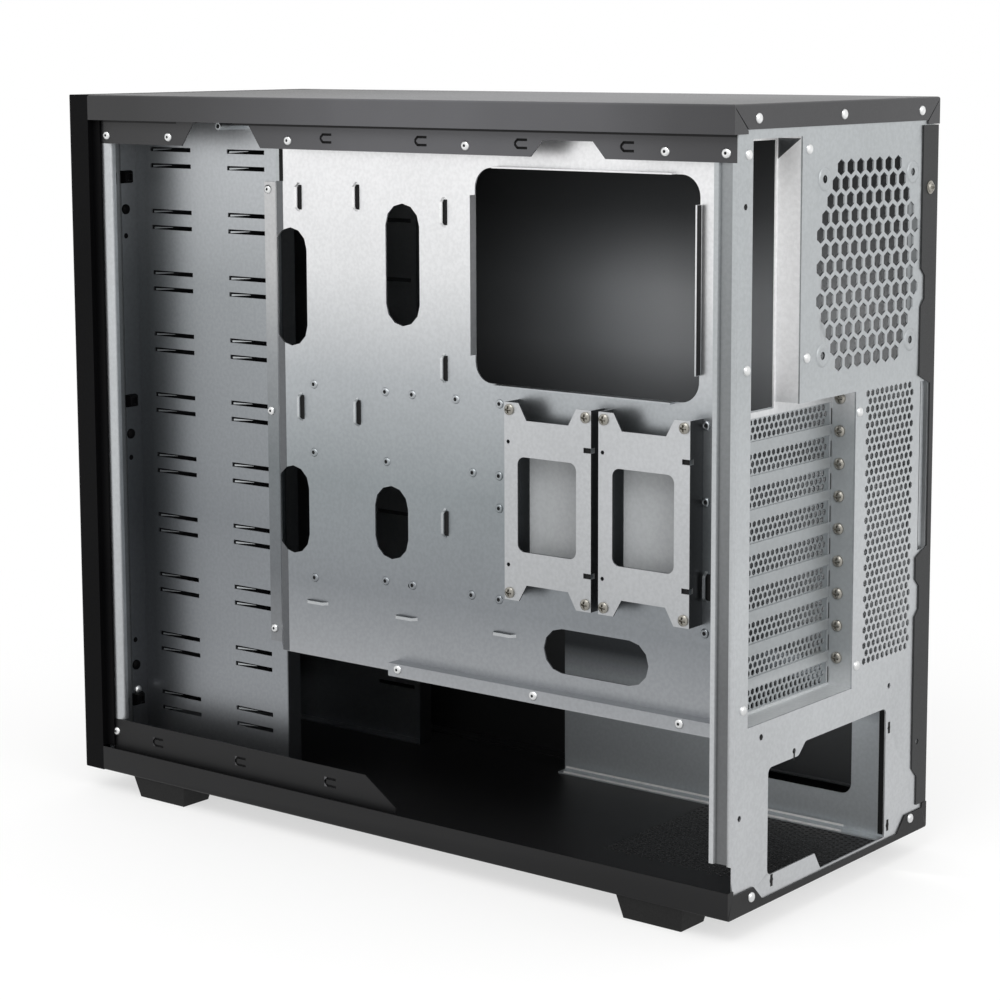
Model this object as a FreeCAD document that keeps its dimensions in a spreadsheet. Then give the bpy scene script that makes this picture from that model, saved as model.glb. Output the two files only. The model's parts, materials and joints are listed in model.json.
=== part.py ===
import FreeCAD, Part
import Sketcher
import math
import os

# Open tower computer case, millimetres. X is across (open right side +X), Y runs to the rear panel,
# Z is up. The origin is on the floor below the middle of the case.

doc = FreeCAD.newDocument("computer_case")
sheet = doc.addObject("Spreadsheet::Sheet", "Dims")


class Size:
    # A length together with the sheet expression that it comes from.
    def __init__(self, number, text):
        self.number = number
        self.text = text

    def __float__(self):
        return self.number

    def __neg__(self):
        return Size(-self.number, f"(-{self.text})")

    def __add__(self, other):
        other = as_size(other)
        return Size(self.number + other.number, f"({self.text} + {other.text})")

    def __sub__(self, other):
        other = as_size(other)
        return Size(self.number - other.number, f"({self.text} - {other.text})")

    def __mul__(self, other):
        other = as_size(other)
        return Size(self.number * other.number, f"({self.text} * {other.text})")

    def __truediv__(self, other):
        other = as_size(other)
        return Size(self.number / other.number, f"({self.text} / {other.text})")


def as_size(value):
    if isinstance(value, Size):
        return value
    return Size(float(value), f"{float(value)}")


cell_count = 0


def cell(alias, number):
    # One named driving dimension: a plain number in the sheet under its alias.
    global cell_count
    cell_count += 1
    sheet.set(f"A{cell_count}", alias.replace("_", " "))
    sheet.set(f"B{cell_count}", str(number))
    sheet.setAlias(f"B{cell_count}", alias)
    return Size(float(number), f"Dims.{alias}")


# Overall sizes
width = cell("width", 236)
body_height = cell("body_height", 474)
chassis_depth = cell("chassis_depth", 525)
bezel_depth = cell("bezel_depth", 19.5)
foot_height = cell("foot_height", 15)
steel = cell("steel_sheet", 1)
skin = cell("painted_sheet", 1)
inset = cell("chassis_inset", 6)
panel_screw_head = cell("panel_screw_head", 2.5)
button_proud = cell("button_proud", 1.5)

half = width / 2
side = half - inset
rear = (chassis_depth + bezel_depth + button_proud - panel_screw_head) / 2
front = rear - chassis_depth
bezel_face = front - bezel_depth
roof = foot_height + body_height


def deep(distance):
    # Y of a point that lies this far forward of the rear face.
    return rear - distance


def up(height):
    # Z of a point this far above the underside of the floor.
    return foot_height + height


# Building helpers

axis_of_plane = {"XY_Plane": "Z", "XZ_Plane": "Y", "YZ_Plane": "X"}


def new_body(label):
    body = doc.addObject("PartDesign::Body", label)
    body.Label = label
    return body


def new_sketch(body, plane, position):
    sketch = body.newObject("Sketcher::SketchObject", f"{body.Name}_sketch")
    support = [f for f in body.Origin.OriginFeatures if f.Role == plane][0]
    sketch.AttachmentSupport = (support, [""])
    sketch.MapMode = "FlatFace"
    offset = -position if plane == "XZ_Plane" else position
    sketch.setExpression("AttachmentOffset.Base.z", offset.text)
    return sketch


def tie(sketch, kind, geometry, point, size):
    # Ties one coordinate of a point to the sheet.
    number = sketch.addConstraint(Sketcher.Constraint(kind, -1, 1, geometry, point, size.number))
    name = f"size_{number}"
    sketch.renameConstraint(number, name)
    sketch.setExpression(f"Constraints.{name}", size.text)


def tie_radius(sketch, geometry, size):
    number = sketch.addConstraint(Sketcher.Constraint("Radius", geometry, size.number))
    name = f"size_{number}"
    sketch.renameConstraint(number, name)
    sketch.setExpression(f"Constraints.{name}", size.text)


def vector(point):
    return FreeCAD.Vector(float(point[0]), float(point[1]), 0)


def polygon(sketch, points):
    # Closed outline, every corner tied to the sheet.
    points = [(as_size(u), as_size(v)) for u, v in points]
    first = sketch.GeometryCount
    count = len(points)
    for i in range(count):
        sketch.addGeometry(Part.LineSegment(vector(points[i]), vector(points[(i + 1) % count])))
    for i in range(count):
        sketch.addConstraint(
            Sketcher.Constraint("Coincident", first + i, 2, first + (i + 1) % count, 1))
    for i in range(count):
        tie(sketch, "DistanceX", first + i, 1, points[i][0])
        tie(sketch, "DistanceY", first + i, 1, points[i][1])


def rectangle(sketch, u0, u1, v0, v1):
    polygon(sketch, [(u0, v0), (u1, v0), (u1, v1), (u0, v1)])


def square(sketch, centre, reach):
    rectangle(sketch, centre[0] - reach, centre[0] + reach, centre[1] - reach, centre[1] + reach)


def hexagon(sketch, centre, radius):
    # Six-sided hole for a small fastener, its corners on the given radius.
    points = []
    for k in range(6):
        angle = math.radians(60 * k)
        points.append((centre[0] + radius * math.cos(angle), centre[1] + radius * math.sin(angle)))
    polygon(sketch, points)


def circle(sketch, centre, radius):
    number = sketch.addGeometry(
        Part.Circle(vector(centre), FreeCAD.Vector(0, 0, 1), float(radius)))
    tie(sketch, "DistanceX", number, 3, as_size(centre[0]))
    tie(sketch, "DistanceY", number, 3, as_size(centre[1]))
    tie_radius(sketch, number, as_size(radius))


end_flats = 6


def oblong(sketch, u0, u1, v0, v1):
    # Slot with round ends, each in a few flats, along the longer of its two sides.
    upright = float(v1 - v0) > float(u1 - u0)
    radius = (u1 - u0) / 2 if upright else (v1 - v0) / 2
    start = math.pi if upright else math.pi / 2
    points = []
    for end, turn in (((u0 + radius, v0 + radius), start), ((u1 - radius, v1 - radius), start + math.pi)):
        for k in range(end_flats + 1):
            angle = turn + math.pi * k / end_flats
            points.append((end[0] + radius * math.cos(angle), end[1] + radius * math.sin(angle)))
    polygon(sketch, points)


def pad(body, plane, low, high, draw):
    # Adds the drawn outline between two positions along the plane's normal.
    start = high if plane == "XZ_Plane" else low
    sketch = new_sketch(body, plane, start)
    draw(sketch)
    feature = body.newObject("PartDesign::Pad", f"{body.Name}_pad")
    feature.Profile = sketch
    feature.setExpression("Length", (high - low).text)
    return feature


def pocket(body, plane, low, high, draw):
    # Cuts the drawn outline between two positions along the plane's normal.
    start = low if plane == "XZ_Plane" else high
    sketch = new_sketch(body, plane, start)
    draw(sketch)
    feature = body.newObject("PartDesign::Pocket", f"{body.Name}_pocket")
    feature.Profile = sketch
    feature.setExpression("Length", (high - low).text)
    return feature


def slab(body, x0, x1, y0, y1, z0, z1):
    # Adds a flat rectangular piece of sheet.
    return pad(body, "XY_Plane", z0, z1, lambda sketch: rectangle(sketch, x0, x1, y0, y1))


def fillet(body, radius, chosen):
    # Rounds the edges that the given test picks from the body as it stands.
    doc.recompute()
    base = body.Tip
    names = [f"Edge{i + 1}" for i, edge in enumerate(base.Shape.Edges) if chosen(edge)]
    feature = body.newObject("PartDesign::Fillet", f"{body.Name}_fillet")
    feature.Base = (base, names)
    feature.setExpression("Radius", radius.text)
    return feature


def edges_along(axis, places):
    # Test for straight edges along an axis that stand at one of the given places on the other two.
    names = [name for name in "XYZ" if name != axis]

    def chosen(edge):
        if edge.Curve.TypeId != "Part::GeomLine":
            return False
        run = edge.Curve.Direction
        if abs(getattr(run, axis.lower())) < 0.999:
            return False
        middle = edge.BoundBox.Center
        here = [getattr(middle, name.lower()) for name in names]
        for place in places:
            if all(abs(h - float(p)) < 0.01 for h, p in zip(here, place)):
                return True
        return False

    return chosen


def prism(name, sides, radius, axis, start, length):
    # Straight bar of a few flat sides that starts at a point and runs along an axis.
    bar = doc.addObject("Part::Prism", name)
    bar.Polygon = sides
    turns = {
        "X": FreeCAD.Rotation(FreeCAD.Vector(0, 1, 0), 90),
        "Y": FreeCAD.Rotation(FreeCAD.Vector(1, 0, 0), -90),
        "Z": FreeCAD.Rotation(),
    }
    bar.Placement = FreeCAD.Placement(FreeCAD.Vector(), turns[axis])
    bar.setExpression("Circumradius", as_size(radius).text)
    bar.setExpression("Height", as_size(length).text)
    for key, value in zip("xyz", start):
        bar.setExpression(f"Placement.Base.{key}", as_size(value).text)
    return bar


def box(name, x0, x1, y0, y1, z0, z1):
    block = doc.addObject("Part::Box", name)
    block.setExpression("Length", (x1 - x0).text)
    block.setExpression("Width", (y1 - y0).text)
    block.setExpression("Height", (z1 - z0).text)
    for key, value in zip("xyz", (x0, y0, z0)):
        block.setExpression(f"Placement.Base.{key}", value.text)
    return block


def fuse(label, pieces):
    joined = doc.addObject("Part::MultiFuse", label)
    joined.Label = label
    joined.Shapes = pieces
    return joined


def group(label, pieces):
    # Several separate solids that share one name.
    bunch = doc.addObject("Part::Compound", label)
    bunch.Label = label
    bunch.Links = pieces
    return bunch


parts = []


def keep(part):
    parts.append(part)
    return part


# Painted top cover: roof sheet, two side flanges and a lip over the rear panel

cover_flange = cell("cover_flange", 17)
cover_lip = cell("cover_rear_lip", 14.5)
bend = cell("painted_bend_radius", 1.5)
mitre_run = cell("cover_mitre_run", 15)
mitre_seam = cell("cover_mitre_seam", 0.6)


def make_top_cover():
    body = new_body("top_cover")
    low = roof - cover_flange
    outline = [(-half, low), (-half, roof), (half, roof), (half, low), (half - skin, low),
               (half - skin, roof - skin), (skin - half, roof - skin), (skin - half, low)]
    pad(body, "XZ_Plane", front, rear, lambda sketch: polygon(sketch, outline))
    lip_low = roof - cover_lip
    foot = half - mitre_run
    lip = [(-half, roof), (half, roof), (half, roof - skin), (foot, lip_low), (-foot, lip_low),
           (-half, roof - skin)]
    pad(body, "XZ_Plane", rear - skin, rear, lambda sketch: polygon(sketch, lip))
    for sign in (1, -1):
        tab = [(half, roof - skin - mitre_seam), (half, low), (foot + mitre_seam, low),
               (foot + mitre_seam, lip_low - mitre_seam)]
        tab = [(x * sign, z) for x, z in tab]
        pad(body, "XZ_Plane", rear - skin, rear, lambda sketch: polygon(sketch, tab))
    long_edges = edges_along("Y", [(half, roof), (-half, roof)])
    rear_edge = edges_along("X", [(rear, roof)])
    fillet(body, bend, lambda edge: long_edges(edge) or rear_edge(edge))
    return keep(body)


# Painted bottom tray: floor, side flanges and a low rear lip that rises to a tab in each corner

tray_flange = cell("tray_flange", 17)
tray_lip = cell("tray_rear_lip", 4)
tab_height = cell("tray_tab_height", 14)
tab_inner = half - cell("tray_tab_width", 28)
tab_toe = tab_inner - cell("tray_tab_slope", 10)


def make_bottom_tray():
    body = new_body("bottom_tray")
    low = foot_height
    outline = [(-half, up(tray_flange)), (-half, low), (half, low), (half, up(tray_flange)),
               (half - skin, up(tray_flange)), (half - skin, low + skin), (skin - half, low + skin),
               (skin - half, up(tray_flange))]
    pad(body, "XZ_Plane", front, rear, lambda sketch: polygon(sketch, outline))
    lip = [(-half, low), (half, low), (half, up(tray_flange)), (side, up(tray_flange)),
           (side, up(tab_height)), (tab_inner, up(tab_height)), (tab_toe, up(tray_lip)),
           (-tab_toe, up(tray_lip)), (-tab_inner, up(tab_height)), (-side, up(tab_height)),
           (-side, up(tray_flange)), (-half, up(tray_flange))]
    pad(body, "XZ_Plane", rear - skin, rear, lambda sketch: polygon(sketch, lip))
    long_edges = edges_along("Y", [(half, low), (-half, low)])
    fillet(body, bend, long_edges)
    return keep(body)


# Left side panel with short turned edges and a wide rear flange: a finger recess, notches, one bare hole

panel_gap = cell("panel_gap", 0.5)
panel_edge = cell("panel_turned_edge", 4)
panel_flange = cell("panel_rear_flange", 20)
recess_low = cell("finger_recess_low", 182)
recess_high = cell("finger_recess_high", 299)
recess_depth = cell("finger_recess_depth", 14)
recess_corner = cell("finger_recess_corner", 6)
notch_depth = cell("panel_notch_depth", 4.7)
panel_notches = [
    (cell("panel_notch_a_low", 143), cell("panel_notch_a_high", 167.5)),
    (body_height - cell("panel_notch_b_low_drop", 131), body_height - cell("panel_notch_b_drop", 107)),
]
panel_foot_high = cell("panel_foot_high", 36.5)
panel_foot_depth = cell("panel_foot_depth", 6.3)
bare_hole_x = cell("panel_bare_hole_from_edge", 14)
bare_hole_height = cell("panel_bare_hole_height", 60)
panel_screw_x = cell("panel_screw_from_edge", 11)
panel_screw_height = body_height - cell("panel_screw_drop", 56.5)
panel_screw_radius = cell("panel_screw_radius", 1.6)
panel_screw_head_radius = cell("panel_screw_head_radius", 4)
panel_screw_length = cell("panel_screw_length", 6)
screw_clearance = cell("screw_clearance", 0.4)

panel_low = up(tray_flange) + panel_gap
panel_high = roof - cover_flange - panel_gap


def notched(edge, low, high, depth, corner):
    # Points of a notch with sloped ends in an upright edge, from its low end to its high end.
    return [(edge, up(low)), (edge - depth, up(low) + corner), (edge - depth, up(high) - corner),
            (edge, up(high))]


def make_left_side_panel():
    body = new_body("left_side_panel")
    inner = panel_edge - half
    pad(body, "YZ_Plane", -half, skin - half,
        lambda sketch: rectangle(sketch, front, rear, panel_low, panel_high))
    slab(body, -half, inner, front, rear, panel_high - skin, panel_high)
    slab(body, -half, inner, front, rear, panel_low, panel_low + skin)
    slab(body, -half, inner, front, front + skin, panel_low, panel_high)
    edge = panel_flange - half
    heel = edge - panel_foot_depth
    flange = [(-half, panel_low), (heel, panel_low), (heel, up(panel_foot_high)),
              (edge, up(panel_foot_high) + panel_foot_depth)]
    flange += notched(edge, *panel_notches[0], notch_depth, notch_depth)
    flange += notched(edge, recess_low, recess_high, recess_depth, recess_corner)
    flange += notched(edge, *panel_notches[1], notch_depth, notch_depth)
    flange += [(edge, panel_high), (-half, panel_high)]

    def draw(sketch):
        polygon(sketch, flange)
        hole = panel_screw_radius + screw_clearance
        hexagon(sketch, (panel_screw_x - half, up(panel_screw_height)), hole)
        hexagon(sketch, (bare_hole_x - half, up(bare_hole_height)), hole)

    pad(body, "XZ_Plane", rear - skin, rear, draw)
    fillet(body, bend, edges_along("Z", [(-half, rear)]))
    return keep(body)


def make_panel_screw():
    place = (panel_screw_x - half, rear, up(panel_screw_height))
    head = prism("panel_screw_head_part", 6, panel_screw_head_radius, "Y", place, panel_screw_head)
    tip = (place[0], rear - panel_screw_length, place[2])
    shank = prism("panel_screw_shank_part", 6, panel_screw_radius, "Y", tip, panel_screw_length)
    return keep(fuse("panel_screw", [head, shank]))


# Rear panel: bright steel sheet with the fan grille, the power supply opening and the pan cut-out

pan_near = side - cell("pan_inset", 15)
pan_io_far = pan_near - cell("pan_io_width", 53)
pan_slot_far = cell("pan_slot_width", 118.5) - pan_near
pan_high = body_height - cell("pan_drop", 20)
pan_step = pan_high - cell("pan_io_height", 157)
fan_x = cell("fan_centre_left", 34)
fan_height = body_height - cell("fan_centre_drop", 98.5)
fan_pitch = cell("fan_hole_spacing", 105)
fan_hole = cell("fan_hole_radius", 2.2)
hex_pitch = cell("grille_pitch", 11.3)
hex_flats = cell("grille_hex_flats", 8.6)
grille_rows = [7, 8, 9, 10, 11, 10, 11, 10, 11, 10, 9, 8, 7]
psu_half = cell("psu_hole_half_spacing", 69)
psu_low = cell("psu_hole_low", 12.5)
psu_rise = cell("psu_hole_rise", 64)
psu_tall_rise = cell("psu_tall_hole_rise", 74)
psu_tall_shift = cell("psu_tall_hole_shift", 24)
psu_hole = cell("psu_hole_radius", 2)
psu_near = cell("psu_opening_near", 74)
psu_far = cell("psu_opening_far", 65)
psu_top = cell("psu_opening_top", 90)
psu_shoulder = cell("psu_opening_shoulder", 82.5)
psu_shoulder_x = cell("psu_opening_shoulder_x", 40)
psu_slope = cell("psu_opening_slope", 8)
psu_ledge = cell("psu_opening_ledge", 16.5)
psu_ledge_x = cell("psu_opening_ledge_x", 20)
psu_floor = cell("psu_opening_floor", 5.5)
psu_floor_slope = cell("psu_opening_floor_slope", 7)
psu_corner = cell("psu_opening_corner", 4)
slot_pitch = cell("slot_pitch", 20.32)
slot_margin = cell("slot_margin", 2.6)
pan_above_psu = cell("pan_above_psu", 18)
slot_room = pan_step - psu_top - pan_above_psu - slot_margin
slot_count = int(float(slot_room) / float(slot_pitch))
pan_low = pan_step - slot_pitch * slot_count - slot_margin
slot_last = pan_low + slot_pitch / 2
spare_holes = [
    (psu_near + cell("spare_hole_near", 8), psu_top + cell("spare_hole_above", 13)),
    (-psu_far - cell("spare_hole_far", 3), psu_top + cell("spare_hole_rise", 14)),
    (side - cell("spare_hole_inset", 7), cell("spare_hole_low", 59)),
    (side - cell("spare_hole_high_inset", 7.5), body_height - cell("spare_hole_drop", 58)),
]
finger_far = cell("finger_window_far", 7.5)
finger_near = cell("finger_window_near", 17)
finger_margin = cell("finger_window_margin", 4)
flange_depth = cell("rear_flange_depth", 17.5)
flange_low = cell("rear_flange_low", 31)
flange_rim = cell("rear_flange_rim", 4)
flange_sink = cell("rear_flange_sink", 2)
rail_low = body_height - cell("top_rail_drop", 33)

pan_outline = [(pan_near, up(pan_low)), (pan_near, up(pan_high)), (pan_io_far, up(pan_high)),
               (pan_io_far, up(pan_step)), (-pan_slot_far, up(pan_step)),
               (-pan_slot_far, up(pan_low))]
sheet_out = rear - skin
sheet_in = sheet_out - steel


def psu_screw_places():
    # Hole centres of the standard power supply, the tall one set in from the near side.
    return [(psu_half, up(psu_low)), (-psu_half, up(psu_low)), (-psu_half, up(psu_low + psu_rise)),
            (psu_half - psu_tall_shift, up(psu_low + psu_tall_rise))]


def spare_hole_places():
    # Small holes beside the supply opening and along the near edge.
    return [(x, up(z)) for x, z in spare_holes]


def psu_opening():
    return [(psu_near, up(psu_ledge)), (psu_near, up(psu_shoulder)),
            (psu_shoulder_x, up(psu_shoulder)), (psu_shoulder_x - psu_slope, up(psu_top)),
            (-psu_far, up(psu_top)), (-psu_far, up(psu_floor)),
            (psu_ledge_x - psu_floor_slope, up(psu_floor)), (psu_ledge_x, up(psu_ledge))]


def fan_screw_places():
    reach = fan_pitch / 2
    return [(-fan_x + reach * a, up(fan_height) + reach * b) for a in (-1, 1) for b in (-1, 1)]


def make_grille_cutter():
    # Staggered rows of upright hexagons that fill the fan's round, longest in the middle.
    pitch = float(hex_pitch)
    radius = float(hex_flats) / math.sqrt(3)
    row_pitch = pitch * math.sqrt(3) / 2
    top = float(up(fan_height)) + row_pitch * (len(grille_rows) - 1) / 2
    start = float(sheet_in - steel)
    through = FreeCAD.Vector(0, float(steel) * 3, 0)
    prisms = []
    for row, count in enumerate(grille_rows):
        z = top - row * row_pitch
        for i in range(count):
            x = -float(fan_x) + (i - (count - 1) / 2) * pitch
            corners = []
            for k in range(7):
                angle = math.pi / 6 + k * math.pi / 3
                corners.append(FreeCAD.Vector(
                    x + radius * math.cos(angle), start, z + radius * math.sin(angle)))
            prisms.append(Part.Face(Part.makePolygon(corners)).extrude(through))
    cutter = doc.addObject("Part::Feature", "grille_cutter")
    cutter.Shape = Part.makeCompound(prisms)
    return cutter


def rear_flange(sign):
    # Section of the folded side flange, with a channel pressed into it.
    rim = flange_rim
    sunk = side - flange_sink
    points = [(side, sheet_out), (side, sheet_out - rim), (sunk, sheet_out - rim - steel),
              (sunk, deep(flange_depth) + rim), (side, deep(flange_depth) + rim - steel),
              (side, deep(flange_depth)), (side - steel, deep(flange_depth)),
              (side - steel, deep(flange_depth) + rim - steel * 2),
              (sunk - steel, deep(flange_depth) + rim - steel),
              (sunk - steel, sheet_out - rim), (side - steel, sheet_out - rim + steel),
              (side - steel, sheet_out)]
    return [(x * sign, y) for x, y in points]


def make_rear_panel():
    body = new_body("rear_sheet")

    def draw(sketch):
        rectangle(sketch, -side, side, up(skin), roof - skin)
        polygon(sketch, pan_outline)
        polygon(sketch, psu_opening())
        for place in psu_screw_places()[:2]:
            circle(sketch, place, psu_hole)
        for place in psu_screw_places()[2:] + spare_hole_places():
            hexagon(sketch, place, psu_hole)
        for place in fan_screw_places():
            circle(sketch, place, fan_hole)
        hexagon(sketch, (panel_screw_x - half, up(panel_screw_height)),
                panel_screw_radius + screw_clearance)
        rectangle(sketch, finger_far - half, finger_near - half, up(recess_low) + finger_margin,
                  up(recess_high) - finger_margin)

    pad(body, "XZ_Plane", sheet_in, sheet_out, draw)
    for sign in (1, -1):
        pad(body, "XY_Plane", up(flange_low), up(rail_low),
            lambda sketch: polygon(sketch, rear_flange(sign)))
    doc.recompute()
    fillet(body, psu_corner, edges_along("Y", psu_opening()[:5]))
    panel = doc.addObject("Part::Cut", "rear_panel")
    panel.Base = body
    panel.Tool = make_grille_cutter()
    return keep(panel)


# Recessed pan with the board's I/O aperture and nine expansion slots

pan_depth = cell("pan_depth", 18)
pan_flange = cell("pan_flange", 10)
io_width = cell("io_aperture_width", 44.45)
io_length = cell("io_aperture_length", 158.75)
io_far = pan_io_far + cell("io_aperture_side", 1.5)
io_top = pan_high - cell("io_aperture_drop", 2.25)
slot_tall = cell("slot_opening_height", 14)
slot_far = pan_slot_far - cell("slot_opening_end", 1)
slot_drop = cell("slot_opening_drop", 1.8)
slot_near = pan_near - cell("slot_opening_side", 9)
slot_screw_rise = cell("slot_screw_rise", 7.9)
slot_screw_depth = cell("slot_screw_depth", 12)
slot_screw_radius = cell("slot_screw_radius", 1.6)

pan_out = deep(pan_depth)
pan_in = pan_out - steel


def grown(outline, margin):
    # The pan outline moved outwards on every side.
    signs = [(1, -1), (1, 1), (-1, 1), (-1, 1), (-1, 1), (-1, -1)]
    return [(x + margin * a, z + margin * b) for (x, z), (a, b) in zip(outline, signs)]


def slot_height(index):
    # Middle of a slot, the first one at the top.
    return up(slot_last + slot_pitch * (slot_count - 1 - index))


def make_io_slot_pan():
    body = new_body("io_slot_pan")

    def floor(sketch):
        polygon(sketch, grown(pan_outline, steel))
        rectangle(sketch, io_far, io_far + io_width, up(io_top - io_length), up(io_top))
        for i in range(slot_count):
            middle = slot_height(i) - slot_drop
            rectangle(sketch, -slot_far, slot_near, middle - slot_tall / 2, middle + slot_tall / 2)

    def ring(margin):
        def draw(sketch):
            polygon(sketch, grown(pan_outline, margin))
            polygon(sketch, pan_outline)
        return draw

    pad(body, "XZ_Plane", pan_in, pan_out, floor)
    pad(body, "XZ_Plane", pan_out, sheet_in, ring(steel))
    pad(body, "XZ_Plane", sheet_in - steel, sheet_in, ring(pan_flange))
    return keep(body)


# Slot covers: a flat strip behind each slot, its end turned out along the pan's far wall

cover_sheet = cell("slot_cover_sheet", 0.8)
cover_gap = cell("slot_cover_gap", 1.3)
cover_near = pan_near - cell("slot_cover_side", 5.5)
cover_tab = cell("slot_cover_tab", 10)
cover_tab_low = cell("slot_cover_tab_low", 8.5)


def make_slot_cover(index):
    body = new_body(f"slot_cover_{index + 1}")
    middle = slot_height(index)
    outer = -pan_slot_far - steel
    tall = slot_pitch - cover_gap
    slab(body, outer - cover_sheet, cover_near, pan_in - cover_sheet, pan_in,
         middle - tall / 2, middle + tall / 2)

    low = middle - cover_tab_low
    high = low + tall
    end = pan_in + cover_tab
    fork = slot_screw_radius + screw_clearance
    screw = middle + slot_screw_rise
    seat = deep(slot_screw_depth) - fork
    tab = [(pan_in - cover_sheet, low), (end, low), (end, screw - fork), (seat, screw - fork),
           (seat, screw + fork), (end, screw + fork), (end, high), (pan_in - cover_sheet, high)]
    pad(body, "YZ_Plane", outer - cover_sheet, outer, lambda sketch: polygon(sketch, tab))
    return keep(body)


slot_screw_head = cell("slot_screw_head", 2.5)
slot_screw_head_radius = cell("slot_screw_head_radius", 3.6)


def make_slot_screws():
    screws = []
    for i in range(slot_count):
        y = deep(slot_screw_depth)
        z = slot_height(i) + slot_screw_rise
        screws.append(prism(f"slot_screw_{i}", 6, slot_screw_head_radius, "X",
                            (-pan_slot_far, y, z), slot_screw_head))
    return keep(group("slot_screws", screws))


# Drive cage: two walls with slots at the height of each bay's screws, in pairs on the open side

cage_half = cell("cage_half_width", 76)
cage_rear = cell("cage_rear", 385)
cage_return = cell("cage_rear_return", 12)
cage_foot = cell("cage_foot", 11)
cage_ear = cell("cage_front_ear", 14)
cage_high = body_height - cell("cage_drop", 18)
bay_pitch = cell("bay_pitch", 42.8)
bay_margin = cell("bay_margin", 45)
bay_count = int(float(body_height - bay_margin) / float(bay_pitch))
bay_slot_low = cell("bay_slot_low", 39.7)
bay_slot_rise = cell("bay_slot_rise", 11.2)
bay_slot_tall = cell("bay_slot_height", 3)
bay_slot_rear = cell("bay_slot_rear", 400)
bay_slot_rear_run = cell("bay_slot_rear_run", 34.5)
bay_slot_front = cell("bay_slot_front", 469)
bay_slot_front_run = cell("bay_slot_front_run", 39)
bay_slot_ends = ((bay_slot_rear, bay_slot_rear_run), (bay_slot_front, bay_slot_front_run))

frame_in = front + steel


def make_cage_wall(label, sign, slot_ends, slot_rises):
    body = new_body(label)
    inner = cage_half - steel
    section = [(cage_half - cage_return, deep(cage_rear)), (cage_half, deep(cage_rear)),
               (cage_half, frame_in + steel), (cage_half + cage_ear, frame_in + steel),
               (cage_half + cage_ear, frame_in), (inner, frame_in),
               (inner, deep(cage_rear) - steel), (cage_half - cage_return, deep(cage_rear) - steel)]
    section = [(x * sign, y) for x, y in section]
    pad(body, "XY_Plane", up(skin), up(cage_high), lambda sketch: polygon(sketch, section))
    edges = sorted([cage_half * sign, (cage_half - cage_foot) * sign], key=float)
    slab(body, edges[0], edges[1], frame_in, deep(cage_rear), up(skin), up(skin) + steel)
    slab(body, edges[0], edges[1], frame_in, deep(cage_rear), up(cage_high) - steel, up(cage_high))

    def slots(sketch):
        for rear_end, run in slot_ends:
            for rise in slot_rises:
                middle = up(bay_slot_low) + rise
                rectangle(sketch, deep(rear_end + run), deep(rear_end),
                          middle - bay_slot_tall / 2, middle + bay_slot_tall / 2)

    wall = sorted([cage_half * sign, inner * sign], key=float)
    first = pocket(body, "YZ_Plane", wall[0], wall[1], slots)
    doc.recompute()
    row = body.newObject("PartDesign::LinearPattern", f"{label}_bays")
    row.Originals = [first]
    row.Direction = (first.Profile[0], ["V_Axis"])
    row.setExpression("Length", (bay_pitch * (bay_count - 1)).text)
    row.Occurrences = bay_count
    body.Tip = row
    return keep(body)


# Motherboard tray, jogged at its front edge to the cage wall, with its cut-outs

tray_x = side - cell("tray_inset", 18.5)
tray_front = cell("tray_front", 373)
tray_low = cell("tray_low_edge", 104)
tray_high = body_height - cell("tray_drop", 19)
jog_high = body_height - cell("tray_jog_drop", 57)
jog_flange = cell("tray_jog_flange", 10)
cpu_rear = cell("cpu_hole_rear", 39)
cpu_front = cell("cpu_hole_front", 206)
cpu_high = body_height - cell("cpu_hole_drop", 41.5)
cpu_low = cpu_high - cell("cpu_hole_height", 133.5)
cpu_corner = cell("cpu_hole_corner", 13)
cable_wide = cell("cable_hole_width", 28)
cable_holes = [
    (cell("cable_hole_a_rear", 347), cell("cable_hole_a_drop", 163), cell("cable_hole_a_run", 78)),
    (cell("cable_hole_b_rear", 251), cell("cable_hole_b_drop", 144), cell("cable_hole_b_run", 78)),
    (cell("cable_hole_c_rear", 347.5), cell("cable_hole_c_drop", 302), cell("cable_hole_c_run", 59)),
    (cell("cable_hole_d_rear", 262), cell("cable_hole_d_drop", 296), cell("cable_hole_d_run", 48)),
]
long_hole_rear = cell("long_hole_rear", 74)
long_hole_low = cell("long_hole_low", 123)
long_hole_run = cell("long_hole_run", 79)
board_hole_rear = cell("board_hole_rear", 33.7)
board_hole_high = body_height - cell("board_hole_drop", 29.7)
board_columns = [cell("board_column_0", 0), cell("board_column_1", 154.94),
                 cell("board_column_2", 227.33)]
board_rows = [cell("board_row_0", 0), cell("board_row_1", 157.48), cell("board_row_2", 281.94)]
standoff_rise = cell("standoff_rise", 6.5)
standoff_radius = cell("standoff_radius", 4)
standoff_thread = cell("standoff_thread_radius", 1.5)
hem_rise = cell("cpu_hem_rise", 5)
hem_end = cell("cpu_hem_from_corner", 17)
rail_edge = side - steel


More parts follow.
